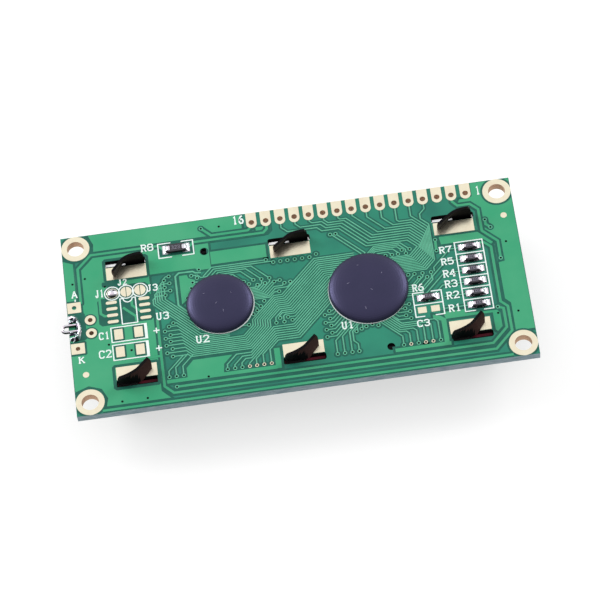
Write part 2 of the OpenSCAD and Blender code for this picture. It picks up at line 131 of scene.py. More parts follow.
# %% [markdown]
# ## Light, floor and backdrop
#
# The light is a pale sky, brightest high behind the board, where the gold and the solder mirror it
# towards the camera, and two softboxes behind the left and right ends that draw a soft rim on the
# resin caps.  The floor is a plain pale surface.  The camera and the mirrors see a little of its own
# light as well, so it reads white, while the shadow of the board still darkens it.

# %% Lights and floor
bpy.context.scene.view_settings.view_transform = "Standard"


def new_material(name):
    """An empty node material: the material, its tree and its output node."""
    material = bpy.data.materials.new(name)
    material.use_nodes = True
    tree = material.node_tree
    tree.nodes.clear()
    output = tree.nodes.new("ShaderNodeOutputMaterial")
    return material, tree, output


def softbox(name, azimuth, elevation, distance, size, power):
    """An area lamp on a sphere round the aim, looking at the aim."""
    lamp = bpy.data.lights.new(name, "AREA")
    lamp.shape = "RECTANGLE"
    lamp.size, lamp.size_y = size
    lamp.energy = power
    lamp_object = bpy.data.objects.new(name, lamp)
    bpy.context.scene.collection.objects.link(lamp_object)
    lamp_axes = camera_axes(math.radians(azimuth), math.radians(elevation), 0.0)
    lamp_object.matrix_world = stand(lamp_axes, distance)


softbox("left_box", -124.0, 28.0, 0.60, (0.30, 0.24), 2.0)
softbox("right_box", 124.0, 28.0, 0.60, (0.28, 0.22), 1.5)

SKY_FRONT, SKY_BACK = 0.34, 0.90
SKY_BRIGHT_WAY = (0.0, 0.505, 0.863)
SKY_TURN = (0.0, 0.95)
world = bpy.data.worlds.new("sky")
bpy.context.scene.world = world
world.use_nodes = True
sky_nodes, sky_links = world.node_tree.nodes, world.node_tree.links
sky = sky_nodes["Background"]
sky.inputs["Color"].default_value = (1.0, 1.0, 1.0, 1.0)
way = sky_nodes.new("ShaderNodeTexCoord")
toward = sky_nodes.new("ShaderNodeVectorMath")
toward.operation = "DOT_PRODUCT"
toward.inputs[1].default_value = SKY_BRIGHT_WAY
level = sky_nodes.new("ShaderNodeMapRange")
level.interpolation_type = "SMOOTHSTEP"
level.inputs["From Min"].default_value = SKY_TURN[0]
level.inputs["From Max"].default_value = SKY_TURN[1]
level.inputs["To Min"].default_value = SKY_FRONT
level.inputs["To Max"].default_value = SKY_BACK
sky_links.new(way.outputs["Generated"], toward.inputs[0])
sky_links.new(toward.outputs["Value"], level.inputs["Value"])
sky_links.new(level.outputs["Result"], sky.inputs["Strength"])
print("a sky from", SKY_FRONT, "to", SKY_BACK, "and two softboxes")

# %% [markdown]
# ### The floor
#
# One diffuse card, plus a glow that only the camera, mirrors and clear things see.  The Light Path
# node tells which kind of ray asks; the larger of its three answers switches the glow on.

# %% Floor
FLOOR_GREY = 0.45
FLOOR_GLOW = 0.62
FLOOR_REACH = 3.0


def math_node(tree, operation, first, second=None):
    """A Math node on sockets or numbers."""
    node = tree.nodes.new("ShaderNodeMath")
    node.operation = operation
    for index, value in enumerate((first, second)):
        if value is None:
            continue
        if isinstance(value, (int, float)):
            node.inputs[index].default_value = value
        else:
            tree.links.new(value, node.inputs[index])
    return node.outputs[0]


floor_material, floor_tree, floor_output = new_material("floor_card")
card = floor_tree.nodes.new("ShaderNodeBsdfDiffuse")
card.inputs["Color"].default_value = (FLOOR_GREY, FLOOR_GREY, FLOOR_GREY, 1.0)
glow = floor_tree.nodes.new("ShaderNodeEmission")
rays = floor_tree.nodes.new("ShaderNodeLightPath").outputs
seen = math_node(floor_tree, "MAXIMUM", rays["Is Camera Ray"], rays["Is Glossy Ray"])
seen = math_node(floor_tree, "MAXIMUM", seen, rays["Is Transmission Ray"])
floor_tree.links.new(math_node(floor_tree, "MULTIPLY", seen, FLOOR_GLOW), glow.inputs["Strength"])
both = floor_tree.nodes.new("ShaderNodeAddShader")
floor_tree.links.new(card.outputs[0], both.inputs[0])
floor_tree.links.new(glow.outputs[0], both.inputs[1])
floor_tree.links.new(both.outputs[0], floor_output.inputs["Surface"])

floor_mesh = bpy.data.meshes.new("floor")
floor_mesh.from_pydata([(x * FLOOR_REACH, y * FLOOR_REACH, FLOOR_Z)
                        for x, y in ((-1, -1), (1, -1), (1, 1), (-1, 1))], [], [(0, 1, 2, 3)])
floor = bpy.data.objects.new("floor", floor_mesh)
bpy.context.scene.collection.objects.link(floor)
floor_mesh.materials.append(floor_material)
print("floor at z =", round(FLOOR_Z, 4), "m")

# %% [markdown]
# ## Shader groups
#
# Several finishes share the same small effects: a slow drift between two tones, a fine grain for the
# bump, and specks of dust.  Each is a node group with named sockets, placed in a material with that
# material's own values.  They give out only colours, masks and heights; the shader stays outside.

# %% Node groups
def tint(red, green, blue):
    """A display colour of 0 to 255 a channel, as the linear colour that a shader wants."""
    value = np.array([red, green, blue]) / 255.0
    linear = np.where(value <= 0.04045, value / 12.92, ((value + 0.055) / 1.055) ** 2.4)
    return (*[float(v) for v in linear], 1.0)


def new_group(name, inputs, outputs):
    """A node group with the named sockets: inputs as (name, kind, default), outputs as (name, kind)."""
    tree = bpy.data.node_groups.new(name, "ShaderNodeTree")
    for label, kind, value in inputs:
        socket = tree.interface.new_socket(name=label, in_out="INPUT", socket_type=kind)
        if value is not None:
            socket.default_value = value
    for label, kind in outputs:
        tree.interface.new_socket(name=label, in_out="OUTPUT", socket_type=kind)
    return tree, tree.nodes.new("NodeGroupInput"), tree.nodes.new("NodeGroupOutput")


def noise_into(tree, vector, scale, detail):
    """A noise texture read at a vector socket, with its scale taken from a socket."""
    noise = tree.nodes.new("ShaderNodeTexNoise")
    noise.inputs["Detail"].default_value = detail
    tree.links.new(vector, noise.inputs["Vector"])
    tree.links.new(scale, noise.inputs["Scale"])
    return noise


FLOAT, COLOUR, VECTOR = "NodeSocketFloat", "NodeSocketColor", "NodeSocketVector"

drift, start, end = new_group(
    "tone drift", [("Vector", VECTOR, None), ("Scale", FLOAT, 100.0), ("Tone A", COLOUR, None),
                   ("Tone B", COLOUR, None)], [("Colour", COLOUR), ("Share", FLOAT)])
slow = noise_into(drift, start.outputs["Vector"], start.outputs["Scale"], 3.0)
spread = drift.nodes.new("ShaderNodeMapRange")
spread.inputs["From Min"].default_value = 0.34
spread.inputs["From Max"].default_value = 0.66
tones = drift.nodes.new("ShaderNodeMix")
tones.data_type = "RGBA"
drift.links.new(slow.outputs["Fac"], spread.inputs["Value"])
drift.links.new(spread.outputs["Result"], tones.inputs["Factor"])
drift.links.new(start.outputs["Tone A"], tones.inputs["A"])
drift.links.new(start.outputs["Tone B"], tones.inputs["B"])
drift.links.new(tones.outputs["Result"], end.inputs["Colour"])
drift.links.new(spread.outputs["Result"], end.inputs["Share"])

grain, start, end = new_group(
    "fine grain", [("Vector", VECTOR, None), ("Scale", FLOAT, 2000.0), ("Low", FLOAT, 0.0),
                   ("High", FLOAT, 1.0)], [("Value", FLOAT)])
fine = noise_into(grain, start.outputs["Vector"], start.outputs["Scale"], 5.0)
limits = grain.nodes.new("ShaderNodeMapRange")
grain.links.new(fine.outputs["Fac"], limits.inputs["Value"])
grain.links.new(start.outputs["Low"], limits.inputs["To Min"])
grain.links.new(start.outputs["High"], limits.inputs["To Max"])
grain.links.new(limits.outputs["Result"], end.inputs["Value"])

specks, start, end = new_group(
    "dust specks", [("Vector", VECTOR, None), ("Scale", FLOAT, 600.0), ("Size", FLOAT, 0.05)],
    [("Mask", FLOAT)])
cells = specks.nodes.new("ShaderNodeTexVoronoi")
near = specks.nodes.new("ShaderNodeMath")
near.operation = "LESS_THAN"
specks.links.new(start.outputs["Vector"], cells.inputs["Vector"])
specks.links.new(start.outputs["Scale"], cells.inputs["Scale"])
specks.links.new(cells.outputs["Distance"], near.inputs[0])
specks.links.new(start.outputs["Size"], near.inputs[1])
specks.links.new(near.outputs[0], end.inputs["Mask"])
print("groups:", ", ".join(g.name for g in bpy.data.node_groups))


# %% [markdown]
# ### The common recipe
#
# Most finishes differ only in numbers: two tones, how far apart they drift, how rough the surface is
# and how deep its grain goes.  One function makes them all.  Its helpers also serve the five finishes
# that need more: the board, the steel, the resin, the display's face and the solder.

# %% A finish from two tones, a grain and a bump
COAT_ROUGHNESS = 0.12


def place_group(tree, group, vector, **values):
    """Puts a node group in a material, reads it at a vector and sets its other inputs."""
    node = tree.nodes.new("ShaderNodeGroup")
    node.node_tree = group
    tree.links.new(vector, node.inputs["Vector"])
    for label, value in values.items():
        node.inputs[label.replace("_", " ")].default_value = value
    return node


def start_finish(name):
    """A new finish: its material, its tree, its Principled shader and the piece's own coordinates."""
    material, tree, output = new_material(name)
    shader = tree.nodes.new("ShaderNodeBsdfPrincipled")
    tree.links.new(shader.outputs["BSDF"], output.inputs["Surface"])
    return material, tree, shader, tree.nodes.new("ShaderNodeTexCoord").outputs["Object"]


def stretched(tree, vector, scale, turn=0.0):
    """Coordinates scaled along each axis, and turned about Z."""
    mapping = tree.nodes.new("ShaderNodeMapping")
    mapping.inputs["Scale"].default_value = scale
    mapping.inputs["Rotation"].default_value = (0.0, 0.0, turn)
    tree.links.new(vector, mapping.inputs["Vector"])
    return mapping.outputs["Vector"]


def apart(tree, vector):
    """The X, Y and Z of a vector, as three sockets."""
    node = tree.nodes.new("ShaderNodeSeparateXYZ")
    tree.links.new(vector, node.inputs[0])
    return node.outputs


def facing(tree):
    """The X, Y and Z of the way that the surface faces."""
    return apart(tree, tree.nodes.new("ShaderNodeNewGeometry").outputs["Normal"])


def raise_by(tree, shader, height, strength, depth):
    """Lifts the surface by a height of 0 to 1, at most depth metres."""
    lift = tree.nodes.new("ShaderNodeBump")
    lift.inputs["Strength"].default_value = strength
    lift.inputs["Distance"].default_value = depth
    tree.links.new(height, lift.inputs["Height"])
    tree.links.new(lift.outputs["Normal"], shader.inputs["Normal"])


def roughen(tree, shader, vector, scale, low, high):
    """A roughness that runs between two values with the fine grain; gives out its socket."""
    rub = place_group(tree, grain, vector, Scale=scale, Low=low, High=high).outputs["Value"]
    tree.links.new(rub, shader.inputs["Roughness"])
    return rub


def finish(name, tone_a, tone_b, patch, rough, metal=0.0, grain_mm=0.5, bump=0.0, coat=0.0,
           specular=0.5, stretch=(1.0, 1.0, 1.0)):
    """A Principled material: its colour drifts between two tones over patch millimetres, its
    roughness runs between the two values of rough with a grain of grain_mm, and the same grain
    lifts the surface by bump."""
    material, tree, shader, where = start_finish(name)
    vector = stretched(tree, where, stretch)
    tone = place_group(tree, drift, vector, Scale=1000.0 / patch, Tone_A=tone_a, Tone_B=tone_b)
    tree.links.new(tone.outputs["Colour"], shader.inputs["Base Color"])
    roughen(tree, shader, vector, 1000.0 / grain_mm, *rough)
    shader.inputs["Metallic"].default_value = metal
    shader.inputs["Coat Weight"].default_value = coat
    shader.inputs["Coat Roughness"].default_value = COAT_ROUGHNESS
    shader.inputs["Specular IOR Level"].default_value = specular
    if bump:
        height = place_group(tree, grain, vector, Scale=1000.0 / grain_mm, Low=0.0, High=1.0)
        raise_by(tree, shader, height.outputs["Value"], min(1.0, bump), grain_mm * MM * 0.25)
    return material


print("finishes are ready to be mixed")

# %% [markdown]
# ## Finishes
#
# Resist over bare laminate is a deep blue-green; over copper it is lighter, and where it thins over a
# copper edge it is darkest.  The gold is soft electroless gold that drifts towards pink and straw.
# The bezel is blackened steel, the caps over the two dies are matt resin with a violet cast.

# %% Materials
LAMINATE = tint(28, 112, 94), tint(38, 134, 108)
copper_resist = finish("resist_over_copper", tint(50, 156, 112), tint(68, 164, 120), 9.0,
                       (0.32, 0.48), grain_mm=0.25, bump=0.1, specular=0.3)
track_resist = finish("resist_over_track", tint(84, 170, 136), tint(96, 180, 146), 2.0,
                      (0.32, 0.46), grain_mm=0.2, specular=0.3)
edge_resist = finish("resist_over_edge", tint(10, 78, 66), tint(16, 88, 74), 2.0, (0.4, 0.55),
                     grain_mm=0.2, specular=0.3)
gold = finish("soft_gold", tint(250, 243, 216), tint(246, 234, 208), 1.6, (0.24, 0.38), metal=1.0,
              grain_mm=0.12, bump=0.25)
print_ink = finish("white_print", tint(226, 240, 236), tint(238, 246, 243), 1.0, (0.55, 0.7),
                   grain_mm=0.1, bump=0.2)
# Via holes are flat dark discs: painted shade for the inside of each hole.
painted_via_shade = finish("via_hole", tint(8, 28, 24), tint(4, 18, 16), 0.4, (0.6, 0.8), grain_mm=0.1,
                   specular=0.1)
halo_resist = finish("resist_thick", tint(14, 88, 74), tint(22, 98, 82), 2.0, (0.36, 0.5),
                     grain_mm=0.2, specular=0.3)
# Painted shadow of the chips: near-black resist laid round each resistor.
chip_shadow_paint = finish("painted_chip_shadow", tint(2, 30, 26), tint(6, 40, 34), 0.8, (0.4, 0.6),
                      grain_mm=0.1, specular=0.15)
solder = finish("bright_solder", tint(240, 230, 240), tint(222, 214, 226), 0.7, (0.12, 0.3),
                metal=1.0, grain_mm=0.22, bump=0.5)
tin = finish("dull_tin", tint(226, 222, 230), tint(206, 202, 212), 0.5, (0.22, 0.45), metal=1.0,
             grain_mm=0.12, bump=0.4)
glaze = finish("chip_glaze", tint(38, 34, 42), tint(50, 46, 56), 0.6, (0.3, 0.5), grain_mm=0.1,
               bump=0.15, coat=0.2)
glaze_mark = finish("chip_marking", tint(152, 148, 166), tint(128, 124, 142), 0.3, (0.5, 0.7),
                    grain_mm=0.08)
# The chip bodies are white alumina; this dark tone is painted shade on their sides.
painted_shade_chip_body = finish("chip_body", tint(30, 28, 34), tint(44, 40, 48), 0.5, (0.5, 0.7),
                 grain_mm=0.08, bump=0.2, specular=0.2)
silicon = finish("silicon_die", tint(90, 92, 110), tint(110, 112, 130), 0.5, (0.15, 0.3),
                 metal=0.6, grain_mm=0.1)
glass = finish("cell_glass", tint(176, 206, 196), tint(186, 214, 204), 8.0, (0.05, 0.1),
               grain_mm=0.5)
white_film = finish("white_film", tint(240, 240, 236), tint(232, 232, 230), 5.0, (0.6, 0.8),
                    grain_mm=0.1, bump=0.1)
clear_plastic = finish("light_guide", tint(236, 244, 240), tint(226, 238, 234), 6.0, (0.08, 0.16),
                       grain_mm=0.4)
black_plastic = finish("black_plastic", tint(34, 34, 37), tint(44, 44, 48), 2.0, (0.42, 0.6),
                       grain_mm=0.1, bump=0.3)
led_card = finish("led_board", tint(226, 228, 222), tint(214, 218, 212), 1.5, (0.4, 0.6),
                  grain_mm=0.1, bump=0.1)
led_resin = finish("led_resin", tint(240, 226, 150), tint(232, 214, 128), 0.8, (0.2, 0.35),
                   grain_mm=0.1)
strip_rubber = finish("contact_rubber", tint(214, 150, 150), tint(70, 66, 68), 0.12, (0.6, 0.8),
                      grain_mm=0.1, bump=0.2, stretch=(1.0, 0.02, 0.02))
print(len(bpy.data.materials), "materials")


# %% [markdown]
# ### Board
#
# The board's node shows resist on its two faces, and the raw cut of glass and resin at its outline:
# lilac-grey, drawn out along the sheet by the saw.  Plated holes are gold inside.  The walls of the
# other holes and slots are near-black, a painted shade.  Which is which is read from the place and the
# way the surface faces, so one material serves the whole solid.

# %% Board material
def mix_colour(tree, factor, first, second):
    """A colour mix on sockets or colours."""
    node = tree.nodes.new("ShaderNodeMix")
    node.data_type = "RGBA"
    tree.links.new(factor, node.inputs["Factor"])
    for label, value in (("A", first), ("B", second)):
        if isinstance(value, tuple):
            node.inputs[label].default_value = value
        else:
            tree.links.new(value, node.inputs[label])
    return node.outputs["Result"]


PIN_STRIP, RING_STRIP, CUT_DEPTH = 2.6, 4.5, 0.05


def board_finish():
    """Resist on the faces, raw laminate on the outline, plating in the holes: in the strip of the
    pins along the back edge and in the strips of the mounting rings at both ends.  The walls of the
    other holes and slots get a near-black painted shade."""
    material, tree, shader, where = start_finish("circuit_board")
    x, y, _ = apart(tree, where)
    far_x, far_y = math_node(tree, "ABSOLUTE", x), math_node(tree, "ABSOLUTE", y)
    upright = math_node(tree, "LESS_THAN", math_node(tree, "ABSOLUTE", facing(tree)["Z"]), 0.5)
    outline = math_node(tree, "MAXIMUM",
                        math_node(tree, "GREATER_THAN", far_x, (RIGHT - CUT_DEPTH) * MM),
                        math_node(tree, "GREATER_THAN", far_y, (BACK - CUT_DEPTH) * MM))
    strips = math_node(tree, "MAXIMUM",
                       math_node(tree, "GREATER_THAN", y, (BACK - PIN_STRIP) * MM),
                       math_node(tree, "GREATER_THAN", far_x, (RIGHT - RING_STRIP) * MM))
    plated = math_node(tree, "MULTIPLY", strips, math_node(tree, "SUBTRACT", 1.0, outline))
    plated = math_node(tree, "MULTIPLY", plated, upright)
    raw = place_group(tree, drift, stretched(tree, where, (0.35, 0.35, 3.0)), Scale=1800.0,
                      Tone_A=tint(146, 172, 184), Tone_B=tint(196, 216, 222))
    face = place_group(tree, drift, where, Scale=110.0, Tone_A=LAMINATE[0], Tone_B=LAMINATE[1])
    # Upright faces inside the outline that are not plated, the walls of the slots and peg holes, take a
    # near-black painted shade.
    cut = mix_colour(tree, outline, tint(26, 22, 26), raw.outputs["Colour"])
    colour = mix_colour(tree, upright, face.outputs["Colour"], cut)
    colour = mix_colour(tree, plated, colour, tint(206, 176, 150))
    tree.links.new(colour, shader.inputs["Base Color"])
    tree.links.new(plated, shader.inputs["Metallic"])
    rub = roughen(tree, shader, where, 4000.0, 0.34, 0.5)
    rough = math_node(tree, "ADD", rub, math_node(tree, "MULTIPLY", upright, 0.25))
    tree.links.new(rough, shader.inputs["Roughness"])
    shader.inputs["Specular IOR Level"].default_value = 0.3
    raise_by(tree, shader, rub, 0.2, 0.06 * MM)
    return material


board_material = board_finish()
print("finish:", board_material.name)

# %% [markdown]
# ### Blackened steel
#
# The bezel is blackened all over except where its tongues were sheared after the blackening: the end
# faces that lie just under the board's face, in the slots, are bare.  Those of the back row are bare
# steel that catches the sky; those of the front row are given a painted dark red shade.  The flanks of
# the tabs carry a painted brown reflection of the gold lands.

# %% Steel material
def steel_finish(shear_low, shear_high):
    """Black steel.  Faces that look up between the two heights are sheared ends: bare bright steel in
    the back row, a painted dark red shade in the front row.  The flanks of the tabs above the board
    carry a painted brown reflection of the gold lands."""
    material, tree, shader, where = start_finish("black_steel")
    _, y, z = apart(tree, where)
    normal = facing(tree)
    sheared = math_node(tree, "GREATER_THAN", normal["Z"], 0.6)
    for operation, height in (("GREATER_THAN", shear_low), ("LESS_THAN", shear_high)):
        sheared = math_node(tree, "MULTIPLY", sheared, math_node(tree, operation, z, height * MM))
    back_row = math_node(tree, "GREATER_THAN", y, 0.0)
    black = place_group(tree, drift, where, Scale=400.0, Tone_A=tint(5, 5, 8),
                        Tone_B=tint(10, 8, 11))
    sense = math_node(tree, "SUBTRACT", 1.0, math_node(tree, "MULTIPLY", back_row, 2.0))
    flank = math_node(tree, "GREATER_THAN", math_node(tree, "MULTIPLY", sense, normal["X"]), 0.3)
    flank = math_node(tree, "MULTIPLY", flank, math_node(tree, "GREATER_THAN", z, TOP * MM))
    # Flanks of the tabs above the board: a painted brown reflection of the gold lands.
    flank_painted_reflection = mix_colour(tree, flank, black.outputs["Colour"], tint(62, 42, 40))
    # Sheared ends: bare steel in the back row, a painted dark red shade in the front row.
    sheared_steel_or_painted_shade = mix_colour(tree, back_row, tint(74, 18, 30), tint(238, 238, 240))
    tree.links.new(mix_colour(tree, sheared, flank_painted_reflection, sheared_steel_or_painted_shade), shader.inputs["Base Color"])
    tree.links.new(math_node(tree, "MULTIPLY", sheared, back_row), shader.inputs["Metallic"])
    shader.inputs["Specular IOR Level"].default_value = 0.08
    raise_by(tree, shader, roughen(tree, shader, where, 6600.0, 0.42, 0.60), 0.15, 0.04 * MM)
    return material


steel = steel_finish(TOP - 0.6, TOP - 0.3)
print("finish:", steel.name)

# %% [markdown]
# ### Resin caps
#
# Each cap is a drop of filled epoxy that spread by itself over the bonded die: matt and violet-black
# on top, a touch paler where dust lies, with a few short pale hairs.

# %% Resin material
def resin_finish():
    """Violet-black epoxy with a slow drift, fine grain and specks of pale dust."""
    material, tree, shader, where = start_finish("cap_resin")
    tone = place_group(tree, drift, where, Scale=260.0, Tone_A=tint(12, 12, 26),
                       Tone_B=tint(20, 18, 34))
    dust = place_group(tree, specks, stretched(tree, where, (1.0, 0.34, 1.0), 0.5), Scale=520.0,
                       Size=0.045)
    colour = mix_colour(tree, dust.outputs["Mask"], tone.outputs["Colour"], tint(128, 124, 150))
    tree.links.new(colour, shader.inputs["Base Color"])
    shader.inputs["Specular IOR Level"].default_value = 1.0
    shader.inputs["Specular Tint"].default_value = (0.52, 0.50, 1.0, 1.0)
    raise_by(tree, shader, roughen(tree, shader, where, 5200.0, 0.36, 0.50), 0.25, 0.04 * MM)
    return material


cap_resin = resin_finish()
print("finish:", cap_resin.name)

# %% [markdown]
# ### Display face
#
# Switched off, the display is an olive-green sheet.  Sixteen by two characters of five by eight dots
# stand in it as faint squares: nested repeats of the place along X and Y, one for the character and
# one for the dot, give the mask.

# %% Polariser material
CHARACTER = (3.55, 5.94)
CELL = (2.95, 5.55)
DOT = (0.60, 0.70)
DOT_GAP = 0.05


def repeat_mask(tree, place, origin, pitch, filled):
    """One where the place, counted from origin, lies in the filled part of each pitch."""
    shifted = math_node(tree, "SUBTRACT", place, origin)
    within = math_node(tree, "FLOORED_MODULO", shifted, pitch)
    return math_node(tree, "LESS_THAN", within, filled), within


def display_finish(low, high):
    """The polariser with its ghost of characters; low and high are the node's corners."""
    material, tree, shader, where = start_finish("display_face")
    spot = apart(tree, where)
    centre = (low + high) / 2
    masks = []
    for axis, count in ((0, 16), (1, 2)):
        span = CHARACTER[axis] * count
        first = (centre[axis] - span / 2) * MM
        place = spot["XY"[axis]]
        inside_low = math_node(tree, "GREATER_THAN", place, first)
        inside_high = math_node(tree, "LESS_THAN", place, first + span * MM)
        cell, within = repeat_mask(tree, place, first, CHARACTER[axis] * MM, CELL[axis] * MM)
        dot, _ = repeat_mask(tree, within, 0.0, DOT[axis] * MM, (DOT[axis] - DOT_GAP) * MM)
        masks += [inside_low, inside_high, cell, dot]
    mask = masks[0]
    for other in masks[1:]:
        mask = math_node(tree, "MULTIPLY", mask, other)
    tone = place_group(tree, drift, where, Scale=60.0, Tone_A=tint(134, 150, 66),
                       Tone_B=tint(142, 158, 74))
    colour = mix_colour(tree, mask, tone.outputs["Colour"], tint(124, 140, 64))
    tree.links.new(colour, shader.inputs["Base Color"])
    roughen(tree, shader, where, 3000.0, 0.12, 0.2)
    shader.inputs["Coat Weight"].default_value = 0.5
    shader.inputs["Coat Roughness"].default_value = 0.06
    return material


display_face = display_finish(*box_mm("front_polariser"))
print("finish:", display_face.name)

# %% [markdown]
# ### Dressing
#
# A table from finish to pieces is easy to read and to change.  The jumper and the wire link wait for
# the solder's own finish further down.

# %% Dress the nodes
DRESS = {
    board_material: ["circuit_board"],
    gold: ["mounting_lands", "header_lands", "tab_lands", "terminal_lands", "jumper_lands",
           "capacitor_lands", "chip_lands", "target_lands"],
    tin: ["resistor_lands", "edge_land", "led_leads", "resistor_caps", "long_resistor_caps"],
    solder: ["edge_solder", "resistor_solder", "long_resistor_solder"],
    steel: ["bezel"],
    display_face: ["front_polariser"],
    glass: ["front_glass", "rear_glass"],
    white_film: ["rear_polariser", "diffuser", "reflector"],
    clear_plastic: ["light_guide"],
    black_plastic: ["holder_frame"],
    led_card: ["led_board"],
    led_resin: ["led_packages"],
    strip_rubber: ["contact_strip_upper", "contact_strip_lower"],
    cap_resin: ["driver_cover", "controller_cover"],
    silicon: ["driver_die", "controller_die"],
    painted_shade_chip_body: ["resistor_cores", "long_resistor_core"],
    glaze: ["resistor_coats", "long_resistor_coat"],
}


def dress(material, *names):
    """Gives the named pieces of the frame one finish."""
    for name in names:
        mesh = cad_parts[name].data
        mesh.materials.clear()
        mesh.materials.append(material)


for material, names in DRESS.items():
    dress(material, *names)
waiting = set(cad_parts) - {name for names in DRESS.values() for name in names}
print("dressed", sum(map(len, DRESS.values())), "nodes; waiting:", sorted(waiting))

# %% [markdown]
# ## Thin layers on the board
#
# Tracks, copper areas, via rings and print are all flat shapes a few hundredths of a millimetre thick
# with sloped sides.  Three makers cover them: a strip along a path, a slab from an outline and a disc.
# The real heights are lifted a little so that each layer clearly lies over the one below.  Shapes of
# one layer rise in steps of a hair, and all of them end a rim's width inside the board's outline.

# %% Flat shapes
LIFT = {"halo": 0.008, "pour": 0.018, "gap": 0.022, "track": 0.034, "ring": 0.040, "print": 0.058}
SUNK = 0.005
SLOPE = 0.07
HAIR, HAIRS = 0.0001, 37
RIM = 0.04


def mitres(points, closed):
    """At each corner, the sideways step that keeps both edges at one distance: the mean of the two
    edge normals, stretched by one over the cosine of half the turn, but never more than doubled."""
    ahead = np.roll(points, -1, axis=0) - points
    if not closed:
        ahead[-1] = ahead[-2]
    ahead /= np.linalg.norm(ahead, axis=1)[:, None]
    left = np.stack([-ahead[:, 1], ahead[:, 0]], axis=1)
    before = np.roll(left, 1, axis=0)
    if not closed:
        before[0] = left[0]
    mean = left + before
    mean /= np.linalg.norm(mean, axis=1)[:, None]
    return mean / np.maximum(np.sum(mean * left, axis=1), 0.5)[:, None]


def circle(centre, radius, sides=12, turn=0.0):
    """Corners of a round outline, counter-clockwise."""
    angle = turn + np.arange(sides) * 2 * math.pi / sides
    return np.array(centre) + radius * np.stack([np.cos(angle), np.sin(angle)], axis=1)


def box_outline(x0, y0, x1, y1, cut=0.0):
    """A rectangle with its corners cut at 45 degrees."""
    if cut == 0.0:
        return [(x0, y0), (x1, y0), (x1, y1), (x0, y1)]
    return [(x0 + cut, y0), (x1 - cut, y0), (x1, y0 + cut), (x1, y1 - cut),
            (x1 - cut, y1), (x0 + cut, y1), (x0, y1 - cut), (x0, y0 + cut)]


def turned(points, clockwise):
    """The outline in the asked sense: the sum of cross products tells which way it runs."""
    after = np.roll(points, -1, axis=0)
    area = np.sum(points[:, 0] * after[:, 1] - after[:, 0] * points[:, 1])
    return points[::-1] if (area < 0) != clockwise else points


def turned_triangle(points, face):
    """A triangle of point numbers, turned to look up."""
    a, b, c = (points[index] for index in face)
    cross = (b[0] - a[0]) * (c[1] - a[1]) - (b[1] - a[1]) * (c[0] - a[0])
    return tuple(face) if cross > 0 else tuple(reversed(face))


class Sheet:
    """Many closed flat shapes gathered into one mesh.  Their tops take the first material and the
    rest of them the second."""

    def __init__(self, lift):
        self.corners, self.faces, self.kinds, self.count = [], [], [], 0
        self.lift = LIFT[lift]
        self.made = 0

    def height(self):
        """Each shape lies a hair above the last, so that shapes that cross never share a plane."""
        self.made += 1
        return self.lift + HAIR * (self.made % HAIRS)

    def add(self, corners, faces, kinds):
        """Appends a shape, with its point numbers moved past those already here."""
        self.corners.append(corners)
        self.faces += [tuple(index + self.count for index in face) for face in faces]
        self.kinds += kinds
        self.count += len(corners)

    def strip(self, path, width, slope=SLOPE, closed=False):
        """A strip along a path: four corners at each point, low and high on either side."""
        points = np.array(path, dtype=float)
        side = mitres(points, closed)
        reach, top = width / 2, self.height()
        offsets = np.array([-reach - slope, -reach, reach, reach + slope])
        flat = points[:, None, :] + side[:, None, :] * offsets[None, :, None]
        heights = np.broadcast_to(np.array([-SUNK, top, top, -SUNK]), flat.shape[:2])
        corners = np.dstack([flat, heights]).reshape(-1, 3)
        count = len(points)
        faces, kinds = [], []
        for here in range(count if closed else count - 1):
            a, b = 4 * here, 4 * ((here + 1) % count)
            faces += [(a + k, b + k, b + (k + 1) % 4, a + (k + 1) % 4) for k in range(4)]
            kinds += [1, 0, 1, 1]
        if not closed:
            last = 4 * (count - 1)
            faces += [(0, 1, 2, 3), (last + 3, last + 2, last + 1, last)]
            kinds += [1, 1]
        self.add(corners, faces, kinds)

    def slab(self, outline, slope=SLOPE, holes=()):
        """A flat area: its outline at the top, pushed outward by the slope at the bottom.  Holes are
        outlines inside it; the two faces are then triangles that leave them open."""
        loops = [turned(np.array(loop, dtype=float), index > 0)
                 for index, loop in enumerate([outline, *holes])]
        low = np.concatenate([loop - mitres(loop, True) * slope for loop in loops])
        high = np.concatenate(loops)
        count, top = len(high), self.height()
        corners = np.concatenate([np.column_stack([low, np.full(count, -SUNK)]),
                                  np.column_stack([high, np.full(count, top)])])
        if holes:
            flats = [[(x, y, 0.0) for x, y in loop] for loop in loops]
            cover = [turned_triangle(high, face) for face in tessellate_polygon(flats)]
        else:
            cover = [tuple(range(count))]
        faces = [tuple(index + count for index in face) for face in cover]
        faces += [tuple(reversed(face)) for face in cover]
        start = 0
        for loop in loops:
            size = len(loop)
            faces += [(start + i, start + (i + 1) % size, count + start + (i + 1) % size,
                       count + start + i) for i in range(size)]
            start += size
        self.add(corners, faces, [0] * len(cover) + [1] * (len(faces) - len(cover)))

    def make(self, name, *materials):
        """One object of all the shapes, riding on the board."""
        mesh = bpy.data.meshes.new(name)
        corners = np.concatenate(self.corners)
        corners[:, 0] = np.clip(corners[:, 0], LEFT + RIM, RIGHT - RIM)
        corners[:, 1] = np.clip(corners[:, 1], FRONT + RIM, BACK - RIM)
        corners[:, 2] += TOP
        mesh.from_pydata((corners * MM).tolist(), [], self.faces)
        for material in materials:
            mesh.materials.append(material)
        if len(materials) > 1:
            mesh.polygons.foreach_set("material_index", self.kinds)
        return place(name, mesh)


def place(name, mesh):
    """An object for a mesh, in the scene and riding on the board."""
    piece = bpy.data.objects.new(name, mesh)
    bpy.context.scene.collection.objects.link(piece)
    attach(piece, "root")
    print(name, len(mesh.polygons), "faces")
    return piece


print("layers from", min(LIFT.values()), "to", max(LIFT.values()), "mm above the board")


